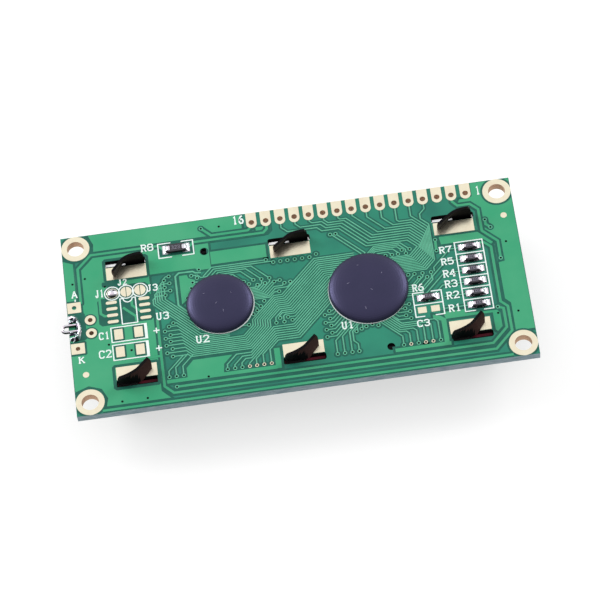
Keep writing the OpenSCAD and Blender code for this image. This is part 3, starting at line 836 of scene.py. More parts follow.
# %% [markdown]
# ### Copper areas
#
# Large areas of copper under the resist show as lighter green.  They keep a clear gap to whatever
# does not belong to them: the gaps are darker shapes laid over the areas.

# %% Copper areas
MOUNTS = [(x, y) for x in (-37.5, 37.5) for y in (-15.5, 15.5)]
SLOT_ROWS = (11.41, -12.69)
SLOTS = [box_outline(x - 3.85, y - 0.8, x + 3.85, y + 0.8) for x in (-29, 0, 29) for y in SLOT_ROWS]
DRILLS = ([circle(at, 2.0, 24) for at in MOUNTS] + SLOTS
          + [circle((-15.0, SLOT_ROWS[0]), 0.78, 20), circle((15.0, SLOT_ROWS[1]), 0.78, 20)]
          + [circle(at, 0.6, 12) for at in ((-38.7, 3.55), (-38.7, -4.7), (-36.12, 0.7),
                                            (-36.12, -1.95))])


def within(outline):
    """The drilled holes whose centre lies inside the outline."""
    points = np.array(outline)
    found = []
    for hole in DRILLS:
        x, y = np.mean(hole, axis=0)
        here, after = points, np.roll(points, -1, axis=0)
        crosses = (here[:, 1] > y) != (after[:, 1] > y)
        rise = np.where(after[:, 1] == here[:, 1], 1.0, after[:, 1] - here[:, 1])
        at = here[:, 0] + (y - here[:, 1]) * (after[:, 0] - here[:, 0]) / rise
        if np.sum(crosses & (at > x)) % 2:
            found.append(hole)
    return found


pours, halos = Sheet("pour"), Sheet("halo")
for outline in (
        # left block, with its cut corner, and the area that goes on above it to the left chip
        [(-34.7, -16.75), (-23.6, -16.75), (-25.1, -15.2), (-25.1, 4.9), (-25.1, 8.2),
         (-16.9, 8.2), (-16.6, 7.75), (-14.15, 7.75), (-14.15, 13.2), (-34.6, 13.2),
         (-36.9, 10.9), (-36.9, 3.9), (-38.0, 3.4), (-39.9, 3.4), (-39.9, -13.2),
         (-37.5, -12.35), (-35.3, -13.2), (-34.35, -15.2)],
        [(-39.9, 4.9), (-38.2, 4.9), (-38.2, 12.45), (-39.9, 13.2)],
        [(-34.4, 14.45), (-7.9, 14.45), (-7.9, 17.9), (-35.1, 17.9), (-34.3, 15.9)],
        box_outline(-14.0, 8.55, -4.2, 11.15),
        [(-19.9, 7.1), (-18.5, 7.1), (-18.3, 6.4), (-17.2, 5.9), (-17.2, 3.5), (-19.9, 1.3)],
        box_outline(-24.0, -13.95, -4.9, -13.25),
        [(-20.4, -13.3), (-20.4, -11.4), (-19.1, -10.0), (-12.3, -10.0), (-13.9, -11.6),
         (-14.1, -13.3)],
        box_outline(-5.1, -13.9, -4.1, -9.9),
        box_outline(15.6, -13.95, 25.3, -13.25),
        [(22.9, -7.6), (24.2, -8.0), (25.05, -8.7), (25.05, -13.9), (24.2, -13.9), (24.2, -9.0),
         (22.9, -8.3)],
        [(24.7, -7.35), (28.5, -7.35), (28.5, -8.15), (34.0, -8.35), (34.45, -9.0),
         (34.45, -11.7), (33.55, -12.55), (33.2, -12.2), (33.2, -8.75), (25.05, -8.75)],
        [(26.1, 7.75), (32.95, 7.75), (35.35, 5.3), (34.95, 4.95), (33.75, 6.15), (26.3, 6.2)],
        [(30.4, 14.15), (32.75, 14.15), (34.25, 12.65), (34.25, 8.0), (36.8, 5.45), (36.8, 1.2),
         (35.7, 1.0), (35.7, -6.35), (36.6, -7.3), (36.6, -12.9), (39.9, -12.9), (39.9, 17.9),
         (33.05, 17.9), (33.05, 15.2), (31.9, 14.75), (30.75, 14.9)],
        [(-5.5, 13.4), (-3.6, 13.4), (-3.0, 14.0), (-3.0, 14.9), (-5.5, 14.9)]):
    pours.slab(outline, holes=within(outline))
    halos.strip(outline, 0.75, closed=True)
pours.make("copper_areas", copper_resist, edge_resist)

# %% [markdown]
# ### Tracks
#
# The fine tracks run in bundles at one pitch, at right angles and at 45 degrees, so each bundle is
# given by its pitch: member n of a bundle keeps to the lines x + y = a + b n or x - y = a + b n.
# Every path below is written from those lines, and the vias that a track ends on are kept for the
# rings.  First comes the bundle that leaves the left edge of the left chip, runs round its lower left
# and arrives at the right chip.

# %% Tracks from the left chip
FINE, WIDE = 0.2, 0.45
TEST_ROW, HEADER_END, CHIP_END = -12.75, 15.3, 29.9
fine_paths, wide_paths, vias = [], [], []


def run(*points, via=()):
    """A fine track through these points; via picks the ends (0 or -1) that sit on a via."""
    fine_paths.append(list(points))
    for end in via:
        vias.append(points[end])


for k, (x, via_at) in enumerate(zip((-22.7, -23.25, -23.65, -24.05, -24.45, -24.85),
                                    ((-21.7, 7.3), (-22.6, 6.6), (-21.7, 5.9), (-22.6, 5.15),
                                     (-21.7, 4.4), (-22.6, 3.6)))):
    down = (-22.85 + 0.58 * (5 - k))
    drop = via_at[1] - 0.7 * (0.6 + 0.25 * (k % 2))
    start = [via_at, (x + via_at[1] - drop, via_at[1]), (x, drop), (x, down - x)]
    if k < 4:
        run(*start, (down + 2.5 + 0.6 * k, -2.5 - 0.6 * k), via=(0,))
    else:
        level = -5.12 - 0.37 * (k - 4)
        run(*start, (down - level, level), (-12.3, level), via=(0,))
column = ((-21.8, -2.2), (-22.6, -2.8), (-23.4, -3.65), (-22.5, -4.5), (-23.4, -5.1),
          (-22.6, -5.8), (-23.4, -6.5), (-22.4, -7.3), (-23.4, -8.0), (-22.5, -8.8))
for m, via_at in enumerate(column):
    down = -23.43 - 0.58 * m
    path = [via_at, (down - via_at[1], via_at[1])]
    if m < 2:
        level = -5.86 - 0.37 * m
        run(*path, (down - level, level), (-12.3, level), via=(0,))
        continue
    n = m - 2
    level = -6.6 - 0.385 * n
    rise, upright = -3.3 + 0.54 * n, -8.1 + 0.43 * n
    step, kink, out = -4.45 + 0.51 * n, 0.55 - 0.405 * n, -3.0 + 0.585 * n
    arrive = 6.9 - 0.41 * n
    run(*path, (down - level, level), (level + rise, level), (upright, upright - rise),
        (upright, upright - step), (kink + step, kink), (kink + out, kink),
        (arrive + out, arrive), (11.0, arrive), via=(0,))
run((-4.05, -4.95), (-4.05, -3.9), (-2.84, -2.69), (-1.01, -2.69), (6.9 - 0.41 * 8 + 1.68, 3.62),
    (11.0, 3.62), via=(0,))
run((-3.3, -4.1), (-3.3, -3.6), (-2.8, -3.1), (-0.83, -3.1), (5.475, 3.21), (11.0, 3.21), via=(0,))
run((-2.65, -4.95), (-2.65, -3.8), (-2.35, -3.5), (-0.65, -3.5), (5.65, 2.8), (11.0, 2.8), via=(0,))
run((-1.9, -4.1), (-0.665, -4.1), (8.5, 5.065), via=(0,))
run((-1.2, -4.8), (-0.78, -4.8), (8.5, 4.48), via=(0,))
for k, start in enumerate((
        [(-13.4, TEST_ROW), (-13.35, -11.8), (-11.6, -10.05), (-9.03, -10.05)],
        [(-12.1, TEST_ROW), (-12.1, -12.1), (-10.6, -10.6), (-9.04, -10.6)],
        [(-10.85, TEST_ROW), (-10.85, -11.9), (-10.1, -11.15), (-9.05, -11.15)],
        [(-9.55, TEST_ROW), (-9.55, -12.19)], [(-8.3, TEST_ROW), (-8.3, -11.48)],
        [(-7.05, TEST_ROW), (-7.05, -10.77)], [(-5.75, TEST_ROW), (-5.75, -10.01)])):
    level = -5.65 - 0.458 * k
    rise, out = 1.02 + 0.54 * k, 4.6 + 0.585 * k
    run(*start, (level + rise, level), (level + out, level), (8.5, 8.5 - out), via=(0,))
for x, top in ((-23.5, -11.6), (-22.25, -11.0), (-21.0, -10.9)):
    reach = 2.8 - 0.32 * (x + 23.5)
    run((x, TEST_ROW), (x, top), (x + reach, top + reach), via=(0,))

print(len(fine_paths), "fine tracks so far")

# %% [markdown]
# #### Tracks right of the left chip
#
# Level lines at one pitch leave the left chip's right side and climb to a scatter of vias.

# %% Tracks right of the left chip
climbs = ((-9.6, [(-6.45, 3.15)]), (-9.0, [(-5.65, 3.35), (-5.65, 4.2)]), (-8.4, [(-5.1, 3.3)]),
          (-7.8, [(-4.25, 3.55), (-4.25, 4.2)]), (-7.2, [(-3.85, 3.35), (-3.5, 3.35)]),
          (-6.6, [(-3.1, 3.5), (-2.5, 3.5)]), (-6.0, [(-3.65, 2.35), (-2.2, 2.35), (-1.75, 2.8)]),
          (-5.4, [(-3.45, 1.95), (-1.3, 1.95), (-0.7, 2.55), (-0.7, 2.9)]),
          (-4.95, [(-3.7, 1.25), (-2.85, 1.25)]))
for k, (lean, rest) in enumerate(climbs):
    level = 2.75 - 0.3 * k
    run((-10.0, level), (level + lean, level), *rest, via=(-1,))
for path in ([(-6.35, -1.2), (-8.4, 0.85)], [(-7.05, -1.95), (-7.05, -1.4), (-8.4, -0.05)],
             [(-7.8, -2.6), (-9.2, -1.2)], [(-8.8, -4.6), (-11.5, -4.6)]):
    run(*path, via=(0,))
vias.append((-5.65, -0.25))

print(len(fine_paths), "fine tracks so far")

# %% [markdown]
# #### Tracks above the left chip
#
# Six lines lean over the chip's top left and end on the vias at its right.

# %% Tracks above the left chip
for k, rest in enumerate(([(-4.45, 7.95)], [(-3.44, 7.54), (-3.2, 7.3)],
                          [(-7.18, 7.13), (-4.25, 4.2)], [(-8.17, 6.72), (-5.65, 4.2)],
                          [(-9.11, 6.31), (-7.05, 4.25)], [(-10.5, 5.9), (-8.75, 4.15)])):
    level, left = 7.95 - 0.41 * k, -14.1 + 0.35 * k
    sink = 1.6 if k < 1 else 2.2
    run((left - sink, level - sink), (left, level), *rest, via=(-1,))
for at in ((-7.9, 3.55), (-16.3, 7.85), (-17.75, 6.8), (-17.65, 5.4), (-18.0, 4.3), (-18.2, 3.3),
           (-18.9, 2.4)):
    vias.append(at)
run((-16.8, 6.9), (-16.1, 6.2), (-15.0, 6.2))
run((-17.75, 6.8), (-17.0, 6.8), (-16.8, 6.2), via=(-1,))
for x, y in ((-17.65, 5.4), (-18.0, 4.3), (-18.2, 3.3), (-18.9, 2.4)):
    run((x, y), (x + 0.8, y), (x + 2.2, y - 1.4))

print(len(fine_paths), "fine tracks so far")

# %% [markdown]
# #### Fan-out from the header
#
# Pins 14 to 4 run round the top of the right chip to its right side.  Member n keeps one
# pitch from its neighbour on the slant, on the upright and on the way back.

# %% Fan-out from the header
leads = {14: [(-1.02, HEADER_END), (-1.02, 14.1), (0, 13.1), (5.2, 13.1), (6, 12.3)],
         13: [(1.52, HEADER_END), (1.52, 14.43), (2.3, 13.65), (5.9, 13.65), (6.75, 12.8)],
         12: [(4.06, HEADER_END), (4.06, 14.6), (4.5, 14.2), (6.2, 14.2), (7.1, 13.3)],
         11: [(6.6, HEADER_END), (6.6, 14.5), (7.3, 13.8)],
         10: [(9.14, HEADER_END), (9.14, 14.5), (9.44, 14.2)],
         9: [(11.68, HEADER_END)], 8: [(14.22, HEADER_END)], 7: [(16.76, HEADER_END)],
         6: [(19.3, HEADER_END)], 5: [(21.84, HEADER_END)],
         4: [(24.38, HEADER_END), (24.38, 13.95), (23.45, 13), (23.45, 12), (24.75, 10.7)]}
slants = {14: 21.3, 13: 22.15, 12: 23.0, 11: 23.9, 10: 24.7, 9: 26.2, 8: 28.1, 7: 30.1, 6: 31.7}
for pin, path in leads.items():
    n = pin - 4
    x, lean = 24.75 - 0.25 * n, -21.45 + 0.578 * n
    if pin in slants:
        across = 12.05 - 0.506 * (pin - 6)
        level = path[-1][1] if len(path) > 1 else slants[pin] - path[-1][0]
        path.append((slants[pin] - level, level))
        path.append((slants[pin] - across, across))
        path.append((34.7 - 0.68 * (n - 1) - across, across))
    turn = 34.7 - 0.68 * (n - 1)
    if pin == 5:
        path.append((21.84, turn - 21.84))
    if pin > 4:
        if turn - x > x + lean + 0.3:
            path += [(x, turn - x), (x, x + lean)]
        else:
            path.append(((turn - lean) / 2, (turn + lean) / 2))
    else:
        path.append((x, x + lean))
    level = 1.65 + 0.325 * n
    run(*path, (level - lean, level), (16.0, level))
for path in ([(20.75, 6.15), (19.25, 7.65), (14.55, 7.65), (12.4, 5.5)],
             [(20.0, 5.4), (20.0, 6.2), (18.9, 7.3), (14.6, 7.3), (12.8, 5.5)],
             [(19.35, 6.15), (18.55, 6.95), (14.65, 6.95), (13.2, 5.5)],
             [(18.6, 5.45), (18.6, 5.8), (17.8, 6.6), (14.7, 6.6), (13.6, 5.5)],
             [(17.55, 5.45), (16.9, 6.1), (14.9, 6.1)], [(16.4, 5.45), (15.0, 5.45)],
             [(7.35, 11.3), (7.5, 11.3), (12.2, 6.6), (12.2, 5.0)],
             [(8.3, 11.3), (12.9, 6.7), (12.9, 5.0)]):
    run(*path, via=(0,))

print(len(fine_paths), "fine tracks so far")

# %% [markdown]
# #### Tracks round the right chip
#
# Short lines leave the chip on its left, its bottom and its right for vias and test points.

# %% Tracks round the right chip
for i, (x, y) in enumerate(((5.3, -4.05), (4.45, -4.75), (5.3, -5.6), (4.4, -6.3), (5.3, -7.0),
                            (4.4, -7.7), (5.3, -8.45), (4.35, -9.15))):
    lean = 9.9 + 0.75 * i
    run((x, y), (y + lean, y), (y + lean + 4.5, y + 4.5), via=(0,))
for x, rest in ((5.7, [(5.7, -10.05), (9.6, -6.15)]), (6.95, [(6.95, -9.4), (10.0, -6.35)]),
                (8.25, [(8.25, -8.7), (10.4, -6.55)]),
                (9.45, [(9.45, -11.3), (8.8, -10.6), (8.8, -8.7), (11.0, -6.5)])):
    run((x, TEST_ROW), *rest, via=(0,))
for x, y in ((9.45, -8.8), (10.4, -8.45), (11.25, -8.1), (12.35, -7.85), (13.35, -8.2)):
    run((x, y), (x + 0.25, y + 0.25), (x + 0.25, -6.4), via=(0,))
for m, (x, level) in enumerate(zip((17.2, 18.45, 19.75, 21.0, 22.3, 23.6),
                                   (-11.0, -10.1, -9.7, -9.25, -8.85, -8.45))):
    fall = 6.2 + 0.55 * m
    path = [(fall + 5.5, -5.5), (fall - level, level)]
    if m:
        path += [(x - 0.5, level), (x, level - 0.5)]
    run(*path, (x, TEST_ROW), via=(-1,))
for path in ([(19.15, -4.85), (16.5, -4.85)], [(18.35, -5.6), (16.0, -5.6)],
             [(19.15, -6.3), (17.2, -6.3), (15.4, -4.5)], [(18.35, -7.0), (17.1, -7.0), (15, -4.9)],
             [(19.15, -7.7), (17.0, -7.7), (14.5, -5.2)], [(19.8, 1.0), (18.1, -0.7)],
             [(20.9, 1.0), (19.14, -0.76), (17.5, -0.76)],
             [(21.6, 0.15), (20.28, -1.17), (17.5, -1.17)],
             [(22.3, 0.95), (22.3, 0.3), (20.4, -1.6), (17.5, -1.6)],
             [(23.0, 0.05), (20.95, -2.0), (17.5, -2.0)],
             [(23.8, 0.9), (23.8, -0.1), (21.5, -2.4), (17.5, -2.4)]):
    run(*path, via=(0,))

print(len(fine_paths), "fine tracks so far")

# %% [markdown]
# #### Tracks from the resistors
#
# One line leaves each resistor's inner pad for the right chip.

# %% Tracks from the resistors
for path in ([(CHIP_END, 5.03), (27.6, 5.03), (24.4, 1.8), (24.4, 1.0)],
             [(CHIP_END, 2.66), (26.6, 2.66), (23.9, 0.0), (23.9, -0.6), (21.7, -2.8), (17.5, -2.8)],
             [(CHIP_END, 0.31), (25.9, 0.31), (22.4, -3.2), (17.5, -3.2)],
             [(CHIP_END, -2.02), (25.4, -2.02), (22.6, -4.8)], [(CHIP_END, -4.35), (25.4, -4.35)],
             [(CHIP_END, -6.67), (25.0, -6.67)]):
    run(*path)
for x in (-3.2, -1.95, -0.7, 0.6, 1.9, 3.2):
    vias.append((x, 7.3))

print(len(fine_paths), "fine tracks so far")

# %% [markdown]
# #### Wide tracks
#
# The supply runs on wide tracks round the board's rim.  Each track, fine or wide, lies on a wider
# strip of thick resist, which shows as the dark gap on either side of it.

# %% Wide tracks
wide_paths += [
    [(29.46, HEADER_END), (29.46, 14.6), (30.25, 13.65), (32.45, 13.65), (33.75, 12.35), (33.75, 7.85),
     (36.2, 5.4), (36.2, 1.85)],
    [(-22.4, -14.8), (32.4, -14.75), (35.15, -12.0), (35.15, -8.2), (34.2, -7.8)],
    [(-24.5, -1.0), (-24.5, -14.4), (-23.0, -15.9), (32.8, -15.95), (35.95, -12.8),
     (35.95, -7.9), (34.85, -6.8), (34.85, 4.4), (33.7, 5.5), (32.6, 5.5)],
    [(-24.5, -8.35), (-29.2, -8.35)], [(-30.2, 2.3), (-28.1, 0.2), (-28.1, -0.8)],
    [(-28.6, 3.6), (-28.6, 2.5), (-26.9, 0.8)], [(-35.5, -17.5), (35.5, -17.5)],
    [(25.4, 7.3), (25.35, 5.1)], [(34.6, 10.05), (34.6, 9.1), (35.35, 8.35)],
    [(-15.1, 16.15), (-13.45, 14.5), (-6.9, 14.5), (-6.1, HEADER_END)],
    [(-18.25, 12.75), (-17.6, 12.75), (-16.75, 13.6), (-4.25, 13.6), (-3.56, 14.3), (-3.56, HEADER_END)],
    [(-37.45, 4.2), (-37.45, 11.3), (-34.95, 13.8), (-23.0, 13.8), (-21.9, 12.75)],
    [(-33.0, 5.4), (-33.6, 5.4), (-34.15, 4.6), (-34.15, 1.6), (-33.5, 1.05), (-32.15, 1.05)]]
around = [(-16.0, 7.2), (-17.0, 7.3), (-17.4, 7.65), (-19.9, 7.7), (-20.55, 7.1), (-20.55, 1.2),
          (-18.6, -0.8)]
tracks = Sheet("track")
for path in fine_paths:
    tracks.strip(path, FINE)
    halos.strip(path, FINE + 0.5)
tracks.strip(around, 0.3)
halos.strip(around, 0.95)
tracks.make("fine_tracks", track_resist, edge_resist)
feeds = Sheet("track")
for path in wide_paths:
    feeds.strip(path, WIDE)
    halos.strip(path, WIDE + 0.75)
feeds.make("wide_tracks", copper_resist, edge_resist)

# %% [markdown]
# ### Gaps in the copper areas
#
# Each land, via and wide track that crosses an area lies in a bare gap of even width.

# %% Gaps
gaps = Sheet("gap")
for at in MOUNTS:
    gaps.strip(circle(at, 2.68, 48), 0.36, 0.03, closed=True)
gaps.slab(box_outline(-34.6, -0.9, -25.0, 4.6, 0.5))
gaps.slab(box_outline(-33.3, 4.0, -25.2, 6.9, 0.8))
gaps.slab(box_outline(-33.5, 6.9, -30.5, 7.9, 0.2))
gaps.slab([(-38.9, -3.2), (-37.4, -3.2), (-36.95, -2.9), (-36.95, 2.0), (-37.4, 2.6),
           (-38.9, 2.6)])
for x, y in ((-38.7, 3.55), (-38.7, -4.7)):
    gaps.strip(box_outline(x - 1.3, y - 1.15, x + 1.3, y + 1.15, 0.1), 0.5, closed=True)
for x, y in ((-36.12, 0.7), (-36.12, -1.95)):
    gaps.strip(circle((x, y), 1.02, 28), 0.36, closed=True)
for x, y in ((-31.45, -2.93), (-27.95, -2.93), (-31.45, -6.43), (-27.95, -6.43)):
    gaps.slab(box_outline(x - 1.05, y - 1.35, x + 1.05, y + 1.35, 0.2))
gaps.slab(box_outline(-23.1, 11.5, -16.6, 14.0, 0.2))
gaps.strip(box_outline(-32.85, 7.95, -25.15, 12.35, 0.3), 0.45, closed=True)
gaps.strip(box_outline(-32.95, -13.65, -25.15, -9.15, 0.3), 0.5, closed=True)
for crossing, more in ((10, 0.75), (11, 0.75), (0, 0.7), (9, 0.7), (8, 0.8)):
    gaps.strip(wide_paths[crossing], WIDE + more)
loose_vias = [(-22.4, -14.8), (-15.1, 16.15), (4.4, 7.75), (36.2, 1.85), (34.2, -7.8),
              (25.4, 7.3), (25.35, 5.1), (34.6, 10.05), (35.35, 8.35)]
for at in loose_vias:
    gaps.slab(circle(at, 0.62, 16))
dots = [(-36.35, 9.15), (-38.6, 8.35), (-33.0, 7.0), (-33.3, -4.7), (-29.5, -6.4), (-32.0, -16.2),
        (-27.6, -16.2), (-16.8, -13.65), (-11.9, 16.1), (34.1, -9.0), (37.6, 5.05),
        (37.6, -9.1)]
gaps.make("area_gaps", halo_resist, halo_resist)

# %% [markdown]
# ### Vias
#
# A via is a ring of copper under the resist round a small hole; the hole is a flat dark disc, painted
# shade for its inside.  The test points in the bottom row were left open and show gold.

# %% Vias
OPEN_VIAS = [(x, TEST_ROW) for x in (-9.55, -8.3, -7.05, -5.75, 18.45, 21.0, 22.3)]
RING_RADIUS, OPEN_RADIUS, HOLE_RADIUS, CLEAR_RADIUS = 0.29, 0.24, 0.2, 0.66
rings, open_rings, holes = Sheet("ring"), Sheet("ring"), Sheet("ring")
holes.lift += 0.001
for at in vias + loose_vias:
    if any(math.dist(at, spot) < 0.1 for spot in OPEN_VIAS):
        open_rings.strip(circle(at, OPEN_RADIUS), 0.14, 0.04, closed=True)
    else:
        rings.strip(circle(at, RING_RADIUS), 0.16, 0.05, closed=True)
    halos.slab(circle(at, CLEAR_RADIUS, 14))
    holes.slab(circle(at, HOLE_RADIUS, 10), 0.03)
for at in dots:
    holes.slab(circle(at, HOLE_RADIUS, 10), 0.03)
halos.make("thick_resist", halo_resist)
rings.make("via_rings", track_resist, edge_resist)
open_rings.make("open_via_rings", gold, gold)
holes.make("via_holes", painted_via_shade)

# %% [markdown]
# ### White print
#
# The print names the places of the parts, frames them and marks pin 1 and 16.  Letters are drawn with
# strokes on a grid four wide and six high, with the small end bars of a plotted letter.

# %% Letters
GLYPHS = {
    "1": [[(0.8, 5), (2, 6), (2, 0)], [(0.8, 0), (3.2, 0)]],
    "2": [[(0, 4.8), (1, 6), (3, 6), (4, 5), (4, 4), (0.2, 0), (4, 0), (4, 0.8)]],
    "3": [[(0, 5), (1, 6), (3, 6), (4, 5), (4, 4), (3, 3.1), (1.5, 3.1)],
          [(3, 3.1), (4, 2.1), (4, 1), (3, 0), (1, 0), (0, 1)]],
    "4": [[(3, 0), (3, 6), (2.6, 6), (0, 2), (4.2, 2)], [(2, 0), (4, 0)]],
    "5": [[(3.8, 6), (0.4, 6), (0.2, 3.3), (1.2, 3.8), (3, 3.8), (4, 2.9), (4, 1), (3, 0), (1, 0),
           (0, 0.9)]],
    "6": [[(3.6, 6), (1.8, 5.6), (0.2, 3.4), (0, 1.2), (1, 0), (3, 0), (4, 1.1), (4, 2.3),
           (3, 3.4), (1, 3.4), (0.1, 2.3)]],
    "7": [[(0, 5.2), (0, 6), (4, 6), (1.8, 2.4), (1.8, 0)]],
    "8": [[(1, 3.2), (0.1, 4.1), (0.1, 5.1), (1, 6), (3, 6), (3.9, 5.1), (3.9, 4.1), (3, 3.2),
           (4, 2.2), (4, 1), (3, 0), (1, 0), (0, 1), (0, 2.2), (1, 3.2), (3, 3.2)]],
    "A": [[(0.2, 0), (1.8, 6), (2.2, 6), (3.8, 0)], [(0.9, 2.1), (3.1, 2.1)],
          [(-0.4, 0), (0.9, 0)], [(3.1, 0), (4.4, 0)]],
    "C": [[(4, 4.8), (3, 6), (1, 6), (0, 4.8), (0, 1.2), (1, 0), (3, 0), (4, 1.2)],
          [(4, 4.4), (4, 6)]],
    "J": [[(2.8, 6), (2.8, 1), (1.9, 0), (0.9, 0), (0, 1), (0, 1.8)], [(1.6, 6), (4, 6)]],
    "K": [[(0.7, 0), (0.7, 6)], [(3.8, 6), (0.7, 2.6)], [(1.7, 3.6), (3.8, 0)],
          [(-0.1, 0), (1.5, 0)], [(-0.1, 6), (1.5, 6)], [(3.1, 0), (4.4, 0)]],
    "R": [[(0.7, 0), (0.7, 6)], [(-0.1, 6), (3, 6), (4, 5.1), (4, 4), (3, 3.1), (0.7, 3.1)],
          [(2.1, 3.1), (3.8, 0), (4.4, 0)], [(-0.1, 0), (1.5, 0)]],
    "U": [[(0.6, 6), (0.6, 1.1), (1.5, 0), (2.6, 0), (3.5, 1.1), (3.5, 6)],
          [(-0.2, 6), (1.4, 6)], [(2.8, 6), (4.3, 6)]],
    "+": [[(0, 3), (4, 3)], [(2, 0), (2, 6)]],
}
STROKE = 0.22


def label(sheet, words, x0, y0, x1, y1, stroke=STROKE, gap=0.14):
    """Letters that fill the box from (x0, y0) to (x1, y1)."""
    wide = (x1 - x0 - gap * (len(words) - 1)) / len(words)
    for place_index, letter in enumerate(words):
        left = x0 + place_index * (wide + gap) + stroke / 2
        for line in GLYPHS[letter]:
            sheet.strip([(left + u / 4 * (wide - stroke),
                          y0 + stroke / 2 + v / 6 * (y1 - y0 - stroke)) for u, v in line],
                        stroke, 0.01)


LABELS = (("16", -9.4, 16.0, -7.4, 17.75), ("1", 33.8, 15.3, 34.7, 17.1),
          ("R8", -26.1, 13.0, -23.8, 14.5), ("J1", -34.8, 4.9, -33.3, 6.5),
          ("J2", -30.7, 6.8, -29.1, 8.05), ("J3", -25.8, 4.8, -23.8, 6.2),
          ("A", -39.0, 5.5, -37.9, 6.9), ("K", -38.9, -7.7, -37.7, -6.35),
          ("U3", -24.7, -1.2, -22.4, 0.3), ("C1", -34.9, -3.6, -33.0, -2.1),
          ("C2", -35.2, -7.3, -33.0, -5.7), ("U2", -18.3, -6.9, -15.9, -5.4),
          ("U1", 7.0, -8.1, 9.2, -6.6), ("R6", 20.0, -2.6, 22.1, -1.1),
          ("C3", 20.0, -9.7, 22.2, -8.3), ("R7", 25.7, 4.3, 28.0, 5.7),
          ("R5", 25.7, 1.9, 28.0, 3.3), ("R4", 25.7, -0.6, 28.0, 0.9),
          ("R3", 25.7, -2.7, 28.0, -1.2), ("R2", 25.7, -5.0, 28.0, -3.5),
          ("R1", 25.7, -7.6, 28.0, -6.1), ("+", -25.5, -3.85, -24.2, -2.55),
          ("+", -25.4, -7.4, -24.1, -6.1))

print(len(LABELS), "labels from", len(GLYPHS), "letters")

# %% [markdown]
# ### Frames and rings
#
# One pen width draws the frames of the parts, the rings of the jumpers and the rings in which the
# resin was poured.

# %% White print
ink = Sheet("print")
for words, x0, y0, x1, y1 in LABELS:
    label(ink, words, x0, y0, x1, y1, stroke=0.27 if words == "16" else STROKE)
LINE = 0.2


def line(*points, closed=False, width=LINE):
    """A printed line."""
    ink.strip(points, width, 0.01, closed=closed)


column_x = (28.6, 33.5)
levels = (6.15, 3.75, 1.4, -0.95, -3.25, -5.6, -7.9)
for level in levels[:-1]:
    line((column_x[0], level), (column_x[1], level))
line((column_x[0], levels[-1]), (30.4, levels[-1]))
line((31.8, levels[-1]), (column_x[1], levels[-1]))
for x in column_x:
    line((x, levels[0] + LINE / 2), (x, levels[-1] - LINE / 2))
for x0, x1, inner in ((-23.0, -20.7, -1), (-16.8, -18.9, 1)):
    line((x1, 14.1), (x0, 14.1), (x0, 11.2), (x1, 11.2))
line((22.0, -2.9), (20.0, -2.9), (20.0, -5.3), (25.0, -5.3), (25.0, -2.9), (23.2, -2.9))
line((20.0, -5.3), (20.0, -7.7), (21.6, -7.7))
line((25.0, -5.3), (25.0, -7.7), (23.4, -7.7))
for low, high in ((-4.4, -1.5), (-8.0, -5.0)):
    line((-26.5, high), (-32.7, high), (-32.7, low), (-26.5, low), closed=True)
    line((-26.65, high), (-26.65, low), width=0.5)
line((-30.05, 4.1), (-30.6, 4.1), (-30.6, -1.0), (-27.9, -1.0), (-27.9, 4.1), (-28.45, 4.1))
notch = circle((-29.25, 4.1), 0.8, 16, math.pi)[:9]
line(*notch)
for x in (-31.85, -29.4, -26.95):
    ink.strip(circle((x, 5.4), 1.32, 28), LINE, 0.01, closed=True)
line((-38.4, 5.2), (-38.4, 4.75))
ink.strip(circle((-13.25, 0.26), 5.84, 60), 0.16, 0.01, closed=True)
ink.strip(circle((12.52, -0.72), 6.92, 64), 0.16, 0.01, closed=True)
ink.make("white_print", print_ink, print_ink)

# %% [markdown]
# ### Solder joints
#
# Solder climbs from each pad to the end of its chip and pulls in between, so a joint is widest at
# the pad's outer end.  Each is a height field over a grid: along u from the chip outward and across
# v.  The closed form is the grid, a wall down its rim and a flat bottom.

# %% Height fields
def mound(sheet, x, y, z, base):
    """Adds a closed grid: x, y and z are arrays of one shape, rows running along X, columns along Y;
    the rim drops to the height base."""
    rows, columns = x.shape
    index = np.arange(rows * columns).reshape(rows, columns)
    quads = np.stack([index[:-1, :-1], index[1:, :-1], index[1:, 1:], index[:-1, 1:]],
                     axis=-1).reshape(-1, 4)
    rim = np.concatenate([index[:-1, 0], index[-1, :-1], index[:0:-1, -1], index[0, :0:-1]])
    top = np.column_stack([x.ravel(), y.ravel(), z.ravel()])
    low = top[rim].copy()
    low[:, 2] = base
    count, size = len(top), len(rim)
    ring = np.arange(size)
    after = (ring + 1) % size
    walls = np.column_stack([count + ring, count + after, rim[after], rim[ring]])
    faces = [tuple(face) for face in quads.tolist() + walls.tolist()]
    faces.append(tuple((count + ring[::-1]).tolist()))
    sheet.add(np.concatenate([top, low]), faces, [0] * len(faces))


def smooth(piece):
    """Rounded shading on the gentle turns of a mesh, crisp on its sharp ones."""
    mesh = piece.data
    mesh.polygons.foreach_set("use_smooth", [True] * len(mesh.polygons))
    mesh.set_sharp_from_angle(angle=math.radians(50.0))
    return piece


def ripple(x, y, size, seed):
    """A soft unevenness: the sum of three sine waves that cross at odd angles."""
    total = np.zeros_like(x)
    for turn in (0.3, 1.5, 2.6):
        way = math.cos(turn + seed) * x + math.sin(turn + seed) * y
        total += np.sin(way * 2 * math.pi / size + seed * 7.0 + turn * 5.0)
    return total / 3


print("a sample ripple:", round(float(ripple(np.ones(1), np.ones(1), 0.6, 1.7)[0]), 3))

# %% [markdown]
# ### Solder's finish
#
# Bright solder mirrors whatever lies above it.  The slopes towards the front get a painted dark shade,
# so they are told apart by the way that they face.

